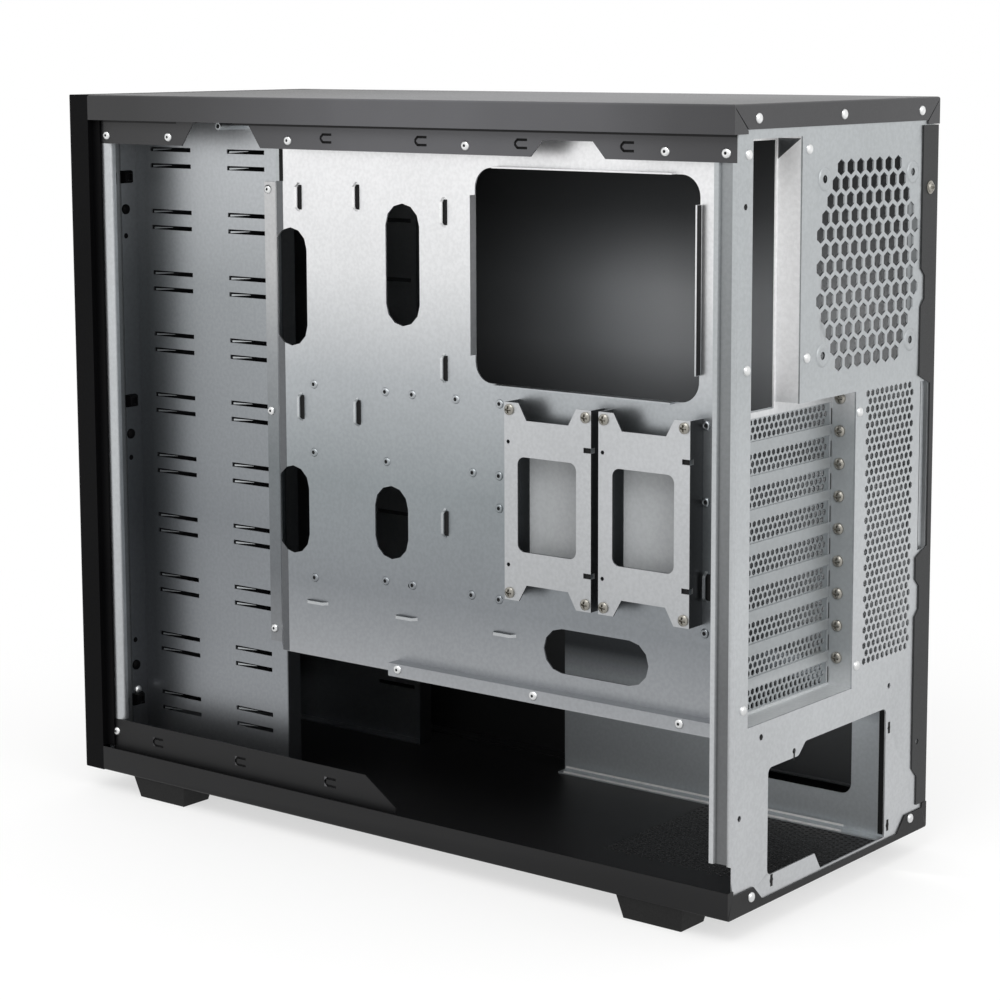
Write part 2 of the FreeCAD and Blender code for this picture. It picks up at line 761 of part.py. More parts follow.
def make_motherboard_tray():
    body = new_body("motherboard_tray")
    back = tray_x
    face = tray_x - steel
    step = back - cage_half - steel
    low_end = deep(tray_front)
    foot_end = low_end - step
    section = [(back, pan_in), (back, low_end), (cage_half + steel, foot_end),
               (cage_half + steel, foot_end - jog_flange), (cage_half, foot_end - jog_flange),
               (cage_half, foot_end + steel * 0.41), (face, low_end + steel * 0.41), (face, pan_in)]
    pad(body, "XY_Plane", up(tray_low), up(jog_high), lambda sketch: polygon(sketch, section))
    slab(body, face, back, low_end, pan_in, up(jog_high), up(tray_high))
    slab(body, face, rail_edge, low_end, pan_in, up(tray_high), up(tray_high) + steel)

    def holes(sketch):
        rectangle(sketch, deep(cpu_front), deep(cpu_rear), up(cpu_low), up(cpu_high))
        oblong(sketch, deep(long_hole_rear + long_hole_run), deep(long_hole_rear),
               up(long_hole_low), up(long_hole_low + cable_wide))
        for rear_edge, drop, run in cable_holes:
            low = roof - drop
            oblong(sketch, deep(rear_edge + cable_wide), deep(rear_edge), low, low + run)

    def places(columns, rows):
        for column in columns:
            for row in rows:
                yield deep(board_hole_rear + column), up(board_hole_high - row)

    def bosses(sketch):
        for place in places(board_columns, board_rows):
            hexagon(sketch, place, standoff_radius)

    def corner_threads(sketch):
        for place in places(board_columns[::2], board_rows[::2]):
            circle(sketch, place, standoff_thread)

    pocket(body, "YZ_Plane", face - step, back, holes)
    pad(body, "YZ_Plane", face - standoff_rise, back, bosses)
    pocket(body, "YZ_Plane", face - standoff_rise, back, corner_threads)
    hem = back + hem_rise
    for y0, y1 in ((deep(cpu_front) - steel, deep(cpu_front)), (deep(cpu_rear), deep(cpu_rear) + steel)):
        slab(body, face, hem, y0, y1, up(cpu_low + hem_end), up(cpu_high - hem_end))
    for z0, z1 in ((up(cpu_low) - steel, up(cpu_low)), (up(cpu_high), up(cpu_high) + steel)):
        slab(body, face, hem, deep(cpu_front - hem_end), deep(cpu_rear + hem_end), z0, z1)
    fillet(body, cpu_corner, edges_along(
        "X", [(deep(y), up(z)) for y in (cpu_front, cpu_rear) for z in (cpu_low, cpu_high)]))
    return keep(body)


# Folded rail along the lower edge of the tray

rail_shelf = cell("tray_rail_shelf", 9.5)
rail_lip = cell("tray_rail_lip", 8.5)
rail_top = cell("tray_rail_top", 112)
rail_front = cell("tray_rail_front", 272)
rail_rear = cell("tray_rail_rear", 22)


def make_tray_rail():
    body = new_body("tray_rail")
    outer = tray_x + rail_shelf
    low = up(rail_top - rail_lip)
    section = [(tray_x, up(rail_top)), (outer, up(rail_top)), (outer, low), (outer - steel, low),
               (outer - steel, up(rail_top) - steel), (tray_x, up(rail_top) - steel)]
    pad(body, "XZ_Plane", deep(rail_front), deep(rail_rear), lambda sketch: polygon(sketch, section))
    return keep(body)


# Front frame: plate with the bay opening, clip holes and rolled side edges

roll_depth = cell("front_roll_depth", 14)
roll_return = cell("front_roll_return", 6)
roll_radius = cell("front_roll_radius", 4.5)
frame_top = body_height - cell("front_frame_drop", 2)
bay_half = cell("bay_opening_half", 74.6)
bay_low = cell("bay_opening_low", 29)
clip_x = side - cell("clip_hole_inset", 15)
clip_square = cell("clip_square_half", 4)
clip_round = cell("clip_hole_radius", 3)
clip_squares = [cell("clip_square_low", 43), body_height - cell("clip_square_drop", 58)]
clip_rounds = [cell("clip_round_low", 67), body_height / 2, body_height - cell("clip_round_drop", 81)]
bottom_rail_high = cell("bottom_rail_high", 37)


def bay_top():
    return bay_low + bay_pitch * bay_count


def make_front_frame():
    body = new_body("front_frame")

    def plate(sketch):
        rectangle(sketch, -side, side, up(skin), up(frame_top))
        rectangle(sketch, -bay_half, bay_half, up(bay_low), up(bay_top()))
        for sign in (1, -1):
            x = clip_x * sign
            for height in clip_squares:
                rectangle(sketch, x - clip_square, x + clip_square,
                          up(height) - clip_square, up(height) + clip_square)
            for height in clip_rounds:
                hexagon(sketch, (x, up(height)), clip_round)

    pad(body, "XZ_Plane", front, frame_in, plate)
    inner_corners = []
    outer_corners = []
    for sign in (1, -1):
        wall = (side - steel) * sign
        section = [(side, front), (side, front + roll_depth), (side - roll_return, front + roll_depth),
                   (side - roll_return, front + roll_depth - steel),
                   (side - steel, front + roll_depth - steel), (side - steel, front)]
        section = [(x * sign, y) for x, y in section]
        pad(body, "XY_Plane", up(bottom_rail_high), up(rail_low),
            lambda sketch: polygon(sketch, section))
        inner_corners += [(wall, front + roll_depth - steel)]
        outer_corners += [(side * sign, front + roll_depth)]
    fillet(body, roll_radius - steel, edges_along("Z", inner_corners))
    fillet(body, roll_radius, edges_along("Z", outer_corners))
    return keep(body)


# Painted side rails at the top and at the front of the floor

rail_flange = cell("rail_flange", 13)
rail_front_gap = cell("rail_front_gap", 5)
notch_high = rail_low + cell("rail_notch_rise", 17)
notch_front = cell("rail_notch_front", 441)
notch_rear = cell("rail_notch_rear", 369.5)
notch_slope = cell("rail_notch_slope", 12)
small_notch_high = rail_low + cell("rail_small_notch_rise", 10)
small_notch_front = cell("rail_small_notch_front", 148.5)
small_notch_rear = cell("rail_small_notch_rear", 93.5)
small_notch_slope = cell("rail_small_notch_slope", 9)
hook_long = cell("rail_hook_length", 10)
hook_tall = cell("rail_hook_height", 6.5)
hook_slit = cell("rail_hook_slit", 1.6)
top_hook_rise = cell("top_hook_rise", 7.5)
top_hooks = [cell("top_hook_a", 78), cell("top_hook_b", 156), cell("top_hook_c", 234),
             cell("top_hook_d", 312.5)]
floor_hook_height = cell("floor_hook_height", 26.5)
floor_hooks = [cell("floor_hook_a", 315.5), cell("floor_hook_b", 397), cell("floor_hook_c", 476)]
floor_rail_end = cell("floor_rail_end", 259)
floor_rail_slope = cell("floor_rail_slope", 26)
floor_rail_toe = cell("floor_rail_toe", 19.5)


def hook_slit_outline(distance, height):
    # C-shaped slit, open to the rear, that frees a small tongue of the rail.
    y0 = deep(distance) - hook_long / 2
    y1 = y0 + hook_long
    z0 = up(height) - hook_tall / 2
    z1 = z0 + hook_tall
    return [(y1, z0), (y1, z0 + hook_slit), (y0 + hook_slit, z0 + hook_slit),
            (y0 + hook_slit, z1 - hook_slit), (y1, z1 - hook_slit), (y1, z1), (y0, z1), (y0, z0)]


def make_top_rail(label, sign, hooks):
    body = new_body(label)
    start = front + rail_front_gap
    low = up(rail_low)
    top = roof - skin
    outline = [(start, low), (deep(notch_front), low), (deep(notch_front - notch_slope), up(notch_high)),
               (deep(notch_rear + notch_slope), up(notch_high)), (deep(notch_rear), low),
               (deep(small_notch_front), low),
               (deep(small_notch_front - small_notch_slope), up(small_notch_high)),
               (deep(small_notch_rear + small_notch_slope), up(small_notch_high)),
               (deep(small_notch_rear), low), (sheet_in, low), (sheet_in, top), (start, top)]
    wall = sorted([side * sign, (side - skin) * sign], key=float)

    def web(sketch):
        polygon(sketch, outline)
        for distance in hooks:
            polygon(sketch, hook_slit_outline(distance, rail_low + top_hook_rise))

    pad(body, "YZ_Plane", wall[0], wall[1], web)
    flange = sorted([side * sign, (side - rail_flange) * sign], key=float)
    slab(body, flange[0], flange[1], start, sheet_in, top - skin, top)
    return keep(body)


def make_bottom_rail(label, sign, hooks):
    body = new_body(label)
    start = front + rail_front_gap
    low = up(skin)
    outline = [(start, low), (deep(floor_rail_end), low), (deep(floor_rail_end), up(floor_rail_toe)),
               (deep(floor_rail_end + floor_rail_slope), up(bottom_rail_high)),
               (start, up(bottom_rail_high))]
    wall = sorted([side * sign, (side - skin) * sign], key=float)

    def web(sketch):
        polygon(sketch, outline)
        for distance in hooks:
            polygon(sketch, hook_slit_outline(distance, floor_hook_height))

    pad(body, "YZ_Plane", wall[0], wall[1], web)
    flange = sorted([side * sign, (side - rail_flange) * sign], key=float)
    slab(body, flange[0], flange[1], start, deep(floor_rail_end), low, low + skin)
    return keep(body)


# Drive brackets on the back of the tray: a raised plate with ears, window and two side flanges

bracket_rise = cell("bracket_rise", 14)
bracket_run = cell("bracket_width", 65.7)
bracket_high = cpu_low - cell("bracket_drop", 8)
bracket_low = bracket_high - cell("bracket_height", 123)
bracket_ear = cell("bracket_ear", 11)
bracket_notch = cell("bracket_notch", 10.5)
bracket_slope = cell("bracket_notch_slope", 6)
window_rear = cell("bracket_window_rear", 11)
window_run = cell("bracket_window_run", 44.5)
window_low = cell("bracket_window_low", 31)
window_tall = cell("bracket_window_height", 59)
window_corner = cell("bracket_window_corner", 5)
keyhole_low = cell("bracket_keyhole_low", 22)
keyhole_pitch = cell("bracket_keyhole_pitch", 76.6)
keyhole_run = cell("bracket_keyhole_run", 5.5)
keyhole_tall = cell("bracket_keyhole_height", 3.2)
keyhole_drop = cell("bracket_keyhole_drop", 4)
pinhole_in = cell("bracket_pinhole_from_side", 3)
pinhole_radius = cell("bracket_pinhole_radius", 1.4)
bracket_rears = {
    "ssd_bracket_rear": cell("rear_bracket_rear", 35.6),
    "ssd_bracket_front": cell("front_bracket_rear", 106.8),
}


def make_bracket(label):
    body = new_body(label)
    rear_end = bracket_rears[label]
    y1 = deep(rear_end)
    y0 = deep(rear_end + bracket_run)
    top = tray_x + bracket_rise
    low = up(bracket_low)
    high = up(bracket_high)
    inner0 = y0 + bracket_ear
    inner1 = y1 - bracket_ear
    outline = [(y0, low), (inner0, low), (inner0 + bracket_slope, low + bracket_notch),
               (inner1 - bracket_slope, low + bracket_notch), (inner1, low), (y1, low), (y1, high),
               (inner1, high), (inner1 - bracket_slope, high - bracket_notch),
               (inner0 + bracket_slope, high - bracket_notch), (inner0, high), (y0, high)]
    window = (y1 - window_rear - window_run, y1 - window_rear,
              low + window_low, low + window_low + window_tall)

    def plate(sketch):
        polygon(sketch, outline)
        rectangle(sketch, *window)
        for rise in (as_size(0), keyhole_pitch):
            hexagon(sketch, (y0 + pinhole_in, low + keyhole_low + rise), pinhole_radius)

    def keyholes(sketch):
        for rise in (as_size(0), keyhole_pitch):
            middle = low + keyhole_low + rise
            rectangle(sketch, y1 - keyhole_run, y1, middle - keyhole_tall / 2,
                      middle + keyhole_tall / 2)

    pad(body, "YZ_Plane", top - steel, top, plate)
    slab(body, tray_x, top, y0, y0 + steel, low, high)
    slab(body, tray_x, top, y1 - steel, y1, low, high)
    pocket(body, "YZ_Plane", top - keyhole_drop, top, keyholes)
    fillet(body, window_corner, edges_along(
        "X", [(y, z) for y in window[:2] for z in window[2:]]))
    return keep(body)


# Plate with a window beside the power supply

psu_plate_x = cell("psu_plate_from_middle", 76)
psu_plate_front = cell("psu_plate_front", 263)
psu_plate_high = cell("psu_plate_top", 112)
psu_plate_foot = cell("psu_plate_foot", 8)
psu_plate_ear = cell("psu_plate_ear", 10)
psu_window_rear = cell("psu_window_rear", 32)
psu_window_run = cell("psu_window_run", 98)
psu_window_low = cell("psu_window_low", 25)
psu_window_tall = cell("psu_window_height", 72)
psu_window_corner = cell("psu_window_corner", 8)


def make_psu_side_plate():
    body = new_body("psu_side_plate")
    inner = -psu_plate_x
    outer = inner - steel
    window = (deep(psu_window_rear + psu_window_run), deep(psu_window_rear),
              up(psu_window_low), up(psu_window_low + psu_window_tall))

    def plate(sketch):
        rectangle(sketch, deep(psu_plate_front), sheet_in, up(skin), up(psu_plate_high))
        rectangle(sketch, *window)

    pad(body, "YZ_Plane", outer, inner, plate)
    slab(body, outer, inner + psu_plate_foot, deep(psu_plate_front), sheet_in,
         up(skin), up(skin) + steel)
    slab(body, outer - psu_plate_ear, inner, sheet_in - steel, sheet_in,
         up(tray_flange), up(psu_plate_high))
    fillet(body, psu_window_corner, edges_along(
        "X", [(y, z) for y in window[:2] for z in window[2:]]))
    return keep(body)


# Moulded front bezel, its bay blanks, buttons and sockets

bezel_wall = cell("bezel_wall", 2.5)
bezel_front = cell("bezel_front_wall", 3)
bezel_round = cell("bezel_round", 3)
bezel_lip = cell("bezel_lip_depth", 7)
bezel_lip_wall = cell("bezel_lip_wall", 1.5)
bezel_lip_gap = cell("bezel_lip_gap", 0.3)
button_x = half - cell("button_from_side", 21)
power_height = body_height - cell("power_button_drop", 49)
power_half = cell("power_button_half", 8)
reset_height = body_height - cell("reset_button_drop", 76)
reset_half = cell("reset_button_half", 4)
button_gap = cell("button_clearance", 0.4)
button_skirt = cell("button_skirt", 1.5)
button_length = cell("button_length", 9)
board_back = cell("switch_board_depth", 15)
board_sheet = cell("switch_board_sheet", 1.6)
board_half = cell("switch_board_half_width", 13)
board_low = body_height - cell("switch_board_low_drop", 154)
board_high = body_height - cell("switch_board_drop", 34)
post_half = cell("bezel_post_half", 3)
switch_half = cell("switch_half", 5)
switch_tall = cell("switch_height", 3.5)
usb_heights = [body_height - cell("usb_socket_a_drop", 119), body_height - cell("usb_socket_b_drop", 139)]
usb_half = cell("usb_half_width", 6.8)
usb_tall = cell("usb_half_height", 3)
usb_wall = cell("usb_wall", 0.6)
socket_gap = cell("socket_clearance", 0.3)
post_heights = [body_height - cell("bezel_post_low_drop", 149), body_height - cell("bezel_post_drop", 98)]

board_face = bezel_face + board_back
cavity = bezel_face + bezel_front


def make_front_bezel():
    body = new_body("front_bezel")
    pad(body, "XZ_Plane", bezel_face, front,
        lambda sketch: rectangle(sketch, -half, half, foot_height, roof))
    fillet(body, bezel_round, lambda edge: edges_along(
        "Z", [(half, bezel_face), (-half, bezel_face)])(edge) or edges_along(
        "X", [(bezel_face, foot_height), (bezel_face, roof)])(edge))
    pocket(body, "XZ_Plane", cavity, front, lambda sketch: rectangle(
        sketch, bezel_wall - half, half - bezel_wall, foot_height + bezel_wall, roof - bezel_wall))

    def openings(sketch):
        rectangle(sketch, -bay_half, bay_half, up(bay_low), up(bay_top()))
        square(sketch, (button_x, up(power_height)), power_half + button_gap)
        square(sketch, (button_x, up(reset_height)), reset_half + button_gap)
        for height in usb_heights:
            rectangle(sketch, button_x - usb_half - socket_gap, button_x + usb_half + socket_gap,
                      up(height) - usb_tall - socket_gap, up(height) + usb_tall + socket_gap)

    pocket(body, "XZ_Plane", bezel_face, cavity, openings)

    def posts(sketch):
        for height in post_heights:
            square(sketch, (button_x, up(height)), post_half)

    pad(body, "XZ_Plane", bezel_face + bezel_front / 2, board_face, posts)
    low = up(tray_flange) + panel_gap
    high = roof - cover_flange - panel_gap
    for sign in (1, -1):
        lip = side + bezel_lip_gap
        ends = sorted([lip * sign, (lip + bezel_lip_wall) * sign], key=float)
        slab(body, ends[0], ends[1], front - bezel_wall, front + bezel_lip, low, high)
        ends = sorted([lip * sign, half * sign], key=float)
        slab(body, ends[0], ends[1], front - bezel_wall, front, low, high)
    return keep(body)


cover_fit = cell("bay_cover_fit", 0.3)
cover_wall = cell("bay_cover_wall", 2)
cover_depth = cell("bay_cover_depth", 11)


def make_bay_cover(index):
    label = f"bay_cover_{index + 1}"
    low = up(bay_low + bay_pitch * (bay_count - 1 - index)) + cover_fit / 2
    high = low + bay_pitch - cover_fit
    edge = bay_half - cover_fit
    shell = box(f"{label}_shell", -edge, edge, bezel_face, bezel_face + cover_depth, low, high)
    hollow = box(f"{label}_hollow", cover_wall - edge, edge - cover_wall, bezel_face + cover_wall,
                 bezel_face + cover_depth + cover_wall, low + cover_wall, high - cover_wall)
    cover = doc.addObject("Part::Cut", label)
    cover.Label = label
    cover.Base = shell
    cover.Tool = hollow
    return keep(cover)


def make_button(label, height, reach):
    # A key with a square skirt that stops it behind the bezel's wall.
    body = new_body(label)
    centre = (button_x, up(height))
    pad(body, "XZ_Plane", bezel_face - button_proud, bezel_face + button_length,
        lambda sketch: square(sketch, centre, reach))
    pad(body, "XZ_Plane", cavity + socket_gap, cavity + socket_gap + button_skirt,
        lambda sketch: square(sketch, centre, reach + button_skirt))
    return keep(body)


def make_switch_board():
    board = box("switch_board_plate", button_x - board_half, button_x + board_half,
                board_face, board_face + board_sheet, up(board_low), up(board_high))
    pieces = [board]
    for name, height in (("power", power_height), ("reset", reset_height)):
        pieces.append(box(f"{name}_switch", button_x - switch_half, button_x + switch_half,
                          board_face - switch_tall, board_face,
                          up(height) - switch_half, up(height) + switch_half))
    return keep(fuse("switch_board", pieces))


def make_port_sockets():
    sockets = []
    for i, height in enumerate(usb_heights):
        x0, x1 = button_x - usb_half, button_x + usb_half
        z0, z1 = up(height) - usb_tall, up(height) + usb_tall
        shell = box(f"usb_shell_{i}", x0, x1, bezel_face, board_face, z0, z1)
        bore = box(f"usb_bore_{i}", x0 + usb_wall, x1 - usb_wall, bezel_face - usb_wall,
                   board_face - usb_tall, z0 + usb_wall, z1 - usb_wall)
        socket = doc.addObject("Part::Cut", f"usb_socket_{i}")
        socket.Base = shell
        socket.Tool = bore
        sockets.append(socket)
    return keep(group("port_sockets", sockets))


# Tapered feet

foot_x = half - cell("foot_from_side", 17)
foot_rear = cell("foot_rear_middle", 57)
foot_front = cell("foot_front_middle", 472)
foot_long = cell("foot_length", 42)
foot_wide = cell("foot_width", 24)
foot_spread = cell("foot_spread", 3.2)


def make_foot(label, x, distance):
    foot = doc.addObject("Part::Wedge", label)
    foot.Label = label
    upright = FreeCAD.Rotation(FreeCAD.Vector(1, 0, 0), 90)
    foot.Placement = FreeCAD.Placement(FreeCAD.Vector(), upright)
    across = foot_wide / 2
    along = foot_long / 2
    sizes = {
        "Xmin": -across, "Xmax": across, "Zmin": -along, "Zmax": along,
        "X2min": -across - foot_spread, "X2max": across + foot_spread,
        "Z2min": -along - foot_spread, "Z2max": along + foot_spread,
        "Ymax": foot_height,
    }
    for key, value in sizes.items():
        foot.setExpression(key, value.text)
    foot.setExpression("Placement.Base.x", x.text)
    foot.setExpression("Placement.Base.y", deep(distance).text)
    return keep(foot)


doc.recompute()
make_top_cover()
make_bottom_tray()
make_left_side_panel()
make_panel_screw()
make_rear_panel()
make_io_slot_pan()
for number in range(slot_count):
    make_slot_cover(number)
make_slot_screws()
make_cage_wall("drive_cage_right", 1, bay_slot_ends, (as_size(0), bay_slot_rise))
make_cage_wall("drive_cage_left", -1, bay_slot_ends[:1], (as_size(0),))
make_motherboard_tray()
make_tray_rail()
make_front_frame()
make_top_rail("top_rail_right", 1, top_hooks)
make_top_rail("top_rail_left", -1, [])
make_bottom_rail("bottom_rail_right", 1, floor_hooks)
make_bottom_rail("bottom_rail_left", -1, [])
for name in bracket_rears:
    make_bracket(name)
make_psu_side_plate()
make_front_bezel()
for number in range(bay_count):
    make_bay_cover(number)
make_button("power_button", power_height, power_half)
make_button("reset_button", reset_height, reset_half)
make_switch_board()
make_port_sockets()
for end, distance in (("front", foot_front), ("rear", foot_rear)):
    make_foot(f"foot_{end}_right", foot_x, distance)
    make_foot(f"foot_{end}_left", -foot_x, distance)
doc.recompute()

for item in doc.Objects:
    for state in item.State:
        if state in ("Invalid", "Error"):
            raise RuntimeError(f"{item.Label} did not build: {item.State}")
for part in parts:
    if part.Shape.isNull() or not part.Shape.isValid() or not part.Shape.Solids:
        raise RuntimeError(f"{part.Label} has no valid shape")

os.makedirs("parts", exist_ok=True)
for part in parts:
    part.Shape.exportStep(f"parts/{part.Label}.step")
print(f"{len(parts)} parts written")
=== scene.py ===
import json
import math

import bmesh
import bpy
import numpy as np
from mathutils import Matrix, Vector


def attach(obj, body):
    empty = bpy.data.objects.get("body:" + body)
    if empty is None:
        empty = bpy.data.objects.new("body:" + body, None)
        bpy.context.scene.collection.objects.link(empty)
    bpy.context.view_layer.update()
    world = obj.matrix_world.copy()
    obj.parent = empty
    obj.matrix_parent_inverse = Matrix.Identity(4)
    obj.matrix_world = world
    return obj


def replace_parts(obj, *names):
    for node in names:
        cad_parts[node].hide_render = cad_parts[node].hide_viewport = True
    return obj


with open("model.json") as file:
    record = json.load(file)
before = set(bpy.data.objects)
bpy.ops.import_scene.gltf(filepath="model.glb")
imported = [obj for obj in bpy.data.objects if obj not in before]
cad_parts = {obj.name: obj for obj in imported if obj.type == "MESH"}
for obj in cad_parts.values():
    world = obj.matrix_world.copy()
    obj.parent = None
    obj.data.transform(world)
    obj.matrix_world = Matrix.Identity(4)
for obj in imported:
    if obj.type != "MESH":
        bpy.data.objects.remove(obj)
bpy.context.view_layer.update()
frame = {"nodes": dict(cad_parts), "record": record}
nodes = frame["nodes"]
scene = bpy.context.scene
print("stage: frame loaded")

# Forms are sized in millimetres and placed by x, s and h. s is the distance forward of the rear face, h the
# height above the underside of the floor. Materials, lights and camera are in metres.

rearFace = 271.75
footHeight = 15.0
rearSheet = 1.0
trayFace = 93.5
slotCount = 9
slotPitch = 20.32

# How far a patch stands off its sheet, the small radius that closes a turned form, and the edges kept sharp
proud = 0.06
tip = 0.02
formSharp = math.radians(42)
sheetSharp = math.radians(30)

# Height in metres over which painted light and shade by height are spread
shadingReach = 0.5


def metres(values):
    return np.array(values, dtype=float) / 1000.0


def at(x, s, h):
    return metres([x, rearFace - s, footHeight + h])


# Materials


def linear(hexColour):
    # Linear RGBA of a hex sRGB colour.
    channels = [int(hexColour[i:i + 2], 16) / 255 for i in (1, 3, 5)]
    rgb = [c / 12.92 if c <= 0.04045 else ((c + 0.055) / 1.055) ** 2.4 for c in channels]
    return (*rgb, 1.0)


def addNode(tree, kind, inputs=None, **settings):
    # Adds one shader node; an input takes a value or the socket that feeds it.
    node = tree.nodes.new(kind)
    for key, value in settings.items():
        setattr(node, key, value)
    for key, value in (inputs or {}).items():
        if isinstance(value, bpy.types.NodeSocket):
            tree.links.new(value, node.inputs[key])
        else:
            node.inputs[key].default_value = value
    return node


def newMaterial(name, base, metallic, roughness):
    material = bpy.data.materials.new(name)
    material.use_nodes = True
    tree = material.node_tree
    shader = tree.nodes["Principled BSDF"]
    shader.inputs["Base Color"].default_value = linear(base)
    shader.inputs["Metallic"].default_value = metallic
    shader.inputs["Roughness"].default_value = roughness
    return material, tree, shader


def speckle(tree, scale, detail, stretch=(1, 1, 1)):
    # Noise in the object's own coordinates.
    coords = addNode(tree, "ShaderNodeTexCoord")
    mapping = addNode(tree, "ShaderNodeMapping",
                      {"Vector": coords.outputs["Object"], "Scale": stretch})
    return addNode(tree, "ShaderNodeTexNoise",
                   {"Vector": mapping.outputs["Vector"], "Scale": scale, "Detail": detail})


def ramp(tree, factor, *stops):
    # Colour ramp through (position, colour) stops.
    node = addNode(tree, "ShaderNodeValToRGB", {"Fac": factor})
    elements = node.color_ramp.elements
    while len(elements) < len(stops):
        elements.new(0.5)
    for element, (position, colour) in zip(elements, stops):
        element.position = position
        element.color = colour
    return node.outputs["Color"]


def grey(value):
    return (value, value, value, 1.0)


def bump(tree, shader, height, strength, distance):
    node = addNode(tree, "ShaderNodeBump",
                   {"Height": height, "Strength": strength, "Distance": distance})
    tree.links.new(node.outputs["Normal"], shader.inputs["Normal"])


def blend(tree, factor, first, second, how="MIX"):
    node = addNode(tree, "ShaderNodeMix", {"Factor": factor}, data_type="RGBA", blend_type=how)
    for key, value in (("A", first), ("B", second)):
        socket = [s for s in node.inputs if s.name == key and s.type == "RGBA"][0]
        if isinstance(value, bpy.types.NodeSocket):
            tree.links.new(value, socket)
        else:
            socket.default_value = value
    return [s for s in node.outputs if s.type == "RGBA"][0]


def along(tree, axis, start, end, source="Object"):
    # Place along an axis, or facing towards it, 0 at the start and 1 at the end.
    coords = addNode(tree, "ShaderNodeTexCoord")
    split = addNode(tree, "ShaderNodeSeparateXYZ", {"Vector": coords.outputs[source]})
    return addNode(tree, "ShaderNodeMapRange", {
        "Value": split.outputs[axis], "From Min": start, "From Max": end}).outputs["Result"]


def shaded(tree, tone, shade):
    # Painted shade: the tone darkened by place along the shade's axis; a shade may fade out with height.
    place = along(tree, shade["axis"], shade["start"], shade["end"], shade.get("source", "Object"))
    shadow = ramp(tree, place, *[(spot, grey(level)) for spot, level in shade["stops"]])
    if "fade" in shade:
        shadow = blend(tree, along(tree, "Z", *shade["fade"]), shadow, grey(1.0))
    return blend(tree, 1.0, tone, shadow, "MULTIPLY")


def platedSteel(name, litTones, roughness, mottle=0.06, metallic=1.0, shade=None):
    # Zinc-plated sheet: a satin metal with painted light and shade by height, a soft mottle, small flecks
    # and a fine grain; a given shade adds painted shade by place.
    material, tree, shader = newMaterial(name, litTones[0][1], metallic, roughness)
    stops = [(height / shadingReach, linear(colour)) for height, colour in litTones]
    tone = ramp(tree, along(tree, "Z", 0.0, shadingReach), *stops)
    cloud = speckle(tree, 11.0, 4.0)
    grain = speckle(tree, 1400.0, 2.0)
    mottled = ramp(tree, cloud.outputs["Fac"], (0.3, grey(1.0 - mottle)), (0.7, grey(1.0)))
    toned = blend(tree, 1.0, tone, mottled, "MULTIPLY")
    spangle = speckle(tree, 420.0, 1.0)
    flecks = ramp(tree, spangle.outputs["Fac"], (0.35, grey(0.93)), (0.65, grey(1.0)))
    toned = blend(tree, 1.0, toned, flecks, "MULTIPLY")
    if shade:
        toned = shaded(tree, toned, shade)
    tree.links.new(toned, shader.inputs["Base Color"])
    rough = ramp(tree, grain.outputs["Fac"], (0.3, grey(roughness - 0.03)), (0.7, grey(roughness + 0.04)))
    tree.links.new(rough, shader.inputs["Roughness"])
    bump(tree, shader, grain.outputs["Fac"], 0.05, 0.0001)
    return material


def blackCoat(name, light, dark, roughness, grain, depth, specular=0.5, shade=None):
    # Powder coat or moulded plastic: a dark colour with a fine even grain, and painted shade by place if
    # given.
    material, tree, shader = newMaterial(name, light, 0.0, roughness)
    shader.inputs["Specular IOR Level"].default_value = specular
    fine = speckle(tree, grain, 2.0)
    cloud = speckle(tree, 9.0, 3.0)
    tone = ramp(tree, cloud.outputs["Fac"], (0.3, linear(dark)), (0.7, linear(light)))
    if shade:
        tone = shaded(tree, tone, shade)
    tree.links.new(tone, shader.inputs["Base Color"])
    rough = ramp(tree, fine.outputs["Fac"], (0.3, grey(roughness - 0.05)), (0.7, grey(roughness + 0.07)))
    tree.links.new(rough, shader.inputs["Roughness"])
    bump(tree, shader, fine.outputs["Fac"], depth, 0.0003)
    return material


# Painted shade on the rear panel's pressed channel, the tray's folds, the ends of the cage, the front frame,
# the rear flanges of the brackets and the left panel's inner face; painted highlight and shade along the
# cover;
# painted light and shade on the tray behind the windows
channelShade = {"axis": "Y", "start": 0.24675, "end": 0.27175, "fade": (0.15, 0.75),
                "stops": [(0.42, 1.0), (0.46, 0.3), (0.76, 0.3), (0.79, 1.0)]}
foldShade = {"axis": "X", "start": 0.07, "end": 0.1,
             "stops": [(0.3, 0.66), (0.65, 1.0)]}
cageShade = {"axis": "Y", "start": -0.255, "end": -0.095,
             "stops": [(0.0, 0.5), (0.0875, 0.55), (0.2, 1.0), (0.878, 1.0), (0.884, 0.22)]}
frameShade = {"axis": "X", "start": 0.08, "end": 0.112, "stops": [(0.7, 0.5), (0.8, 1.0)]}
bracketShade = {"axis": "Y", "source": "Normal", "start": 0.0, "end": 1.0,
                "stops": [(0.5, 1.0), (0.7, 0.2)]}
coverShade = {"axis": "Y", "start": -0.275, "end": 0.2735,
              "stops": [(0.0, 0.1), (0.12, 0.16), (0.295, 0.48), (0.455, 0.97), (0.623, 1.0), (0.827, 0.8),
                        (0.924, 0.48), (1.0, 0.4)]}
innerPanelShade = {"axis": "Z", "start": 0.0, "end": shadingReach,
               "stops": [(0.5, 0.5), (0.56, 0.62), (0.63, 1.0), (0.71, 1.0), (0.82, 0.42), (0.92, 0.3)]}
windowShade = {"axis": "Y", "start": 0.10725, "end": 0.21175,
               "stops": [(0.0, 1.0), (0.13, 0.7), (0.32, 0.55), (0.66, 0.55), (0.67, 1.0), (0.81, 0.7),
                         (1.0, 0.55)]}
# The tones by height of the steels below are painted light and shade: lighter where a sheet catches the
# light, darker where it lies in shade.
trayLitTones = [(0.1, "#b6b8bb"), (0.17, "#8f9397"), (0.24, "#949a9d"), (0.31, "#b4b8bb"), (0.38, "#e6e7e8"),
             (0.47, "#fcfcfd")]
sheetSteel = platedSteel("sheetSteel", [(0.0, "#b4b8ba"), (0.49, "#bcc0c2")], 0.4)
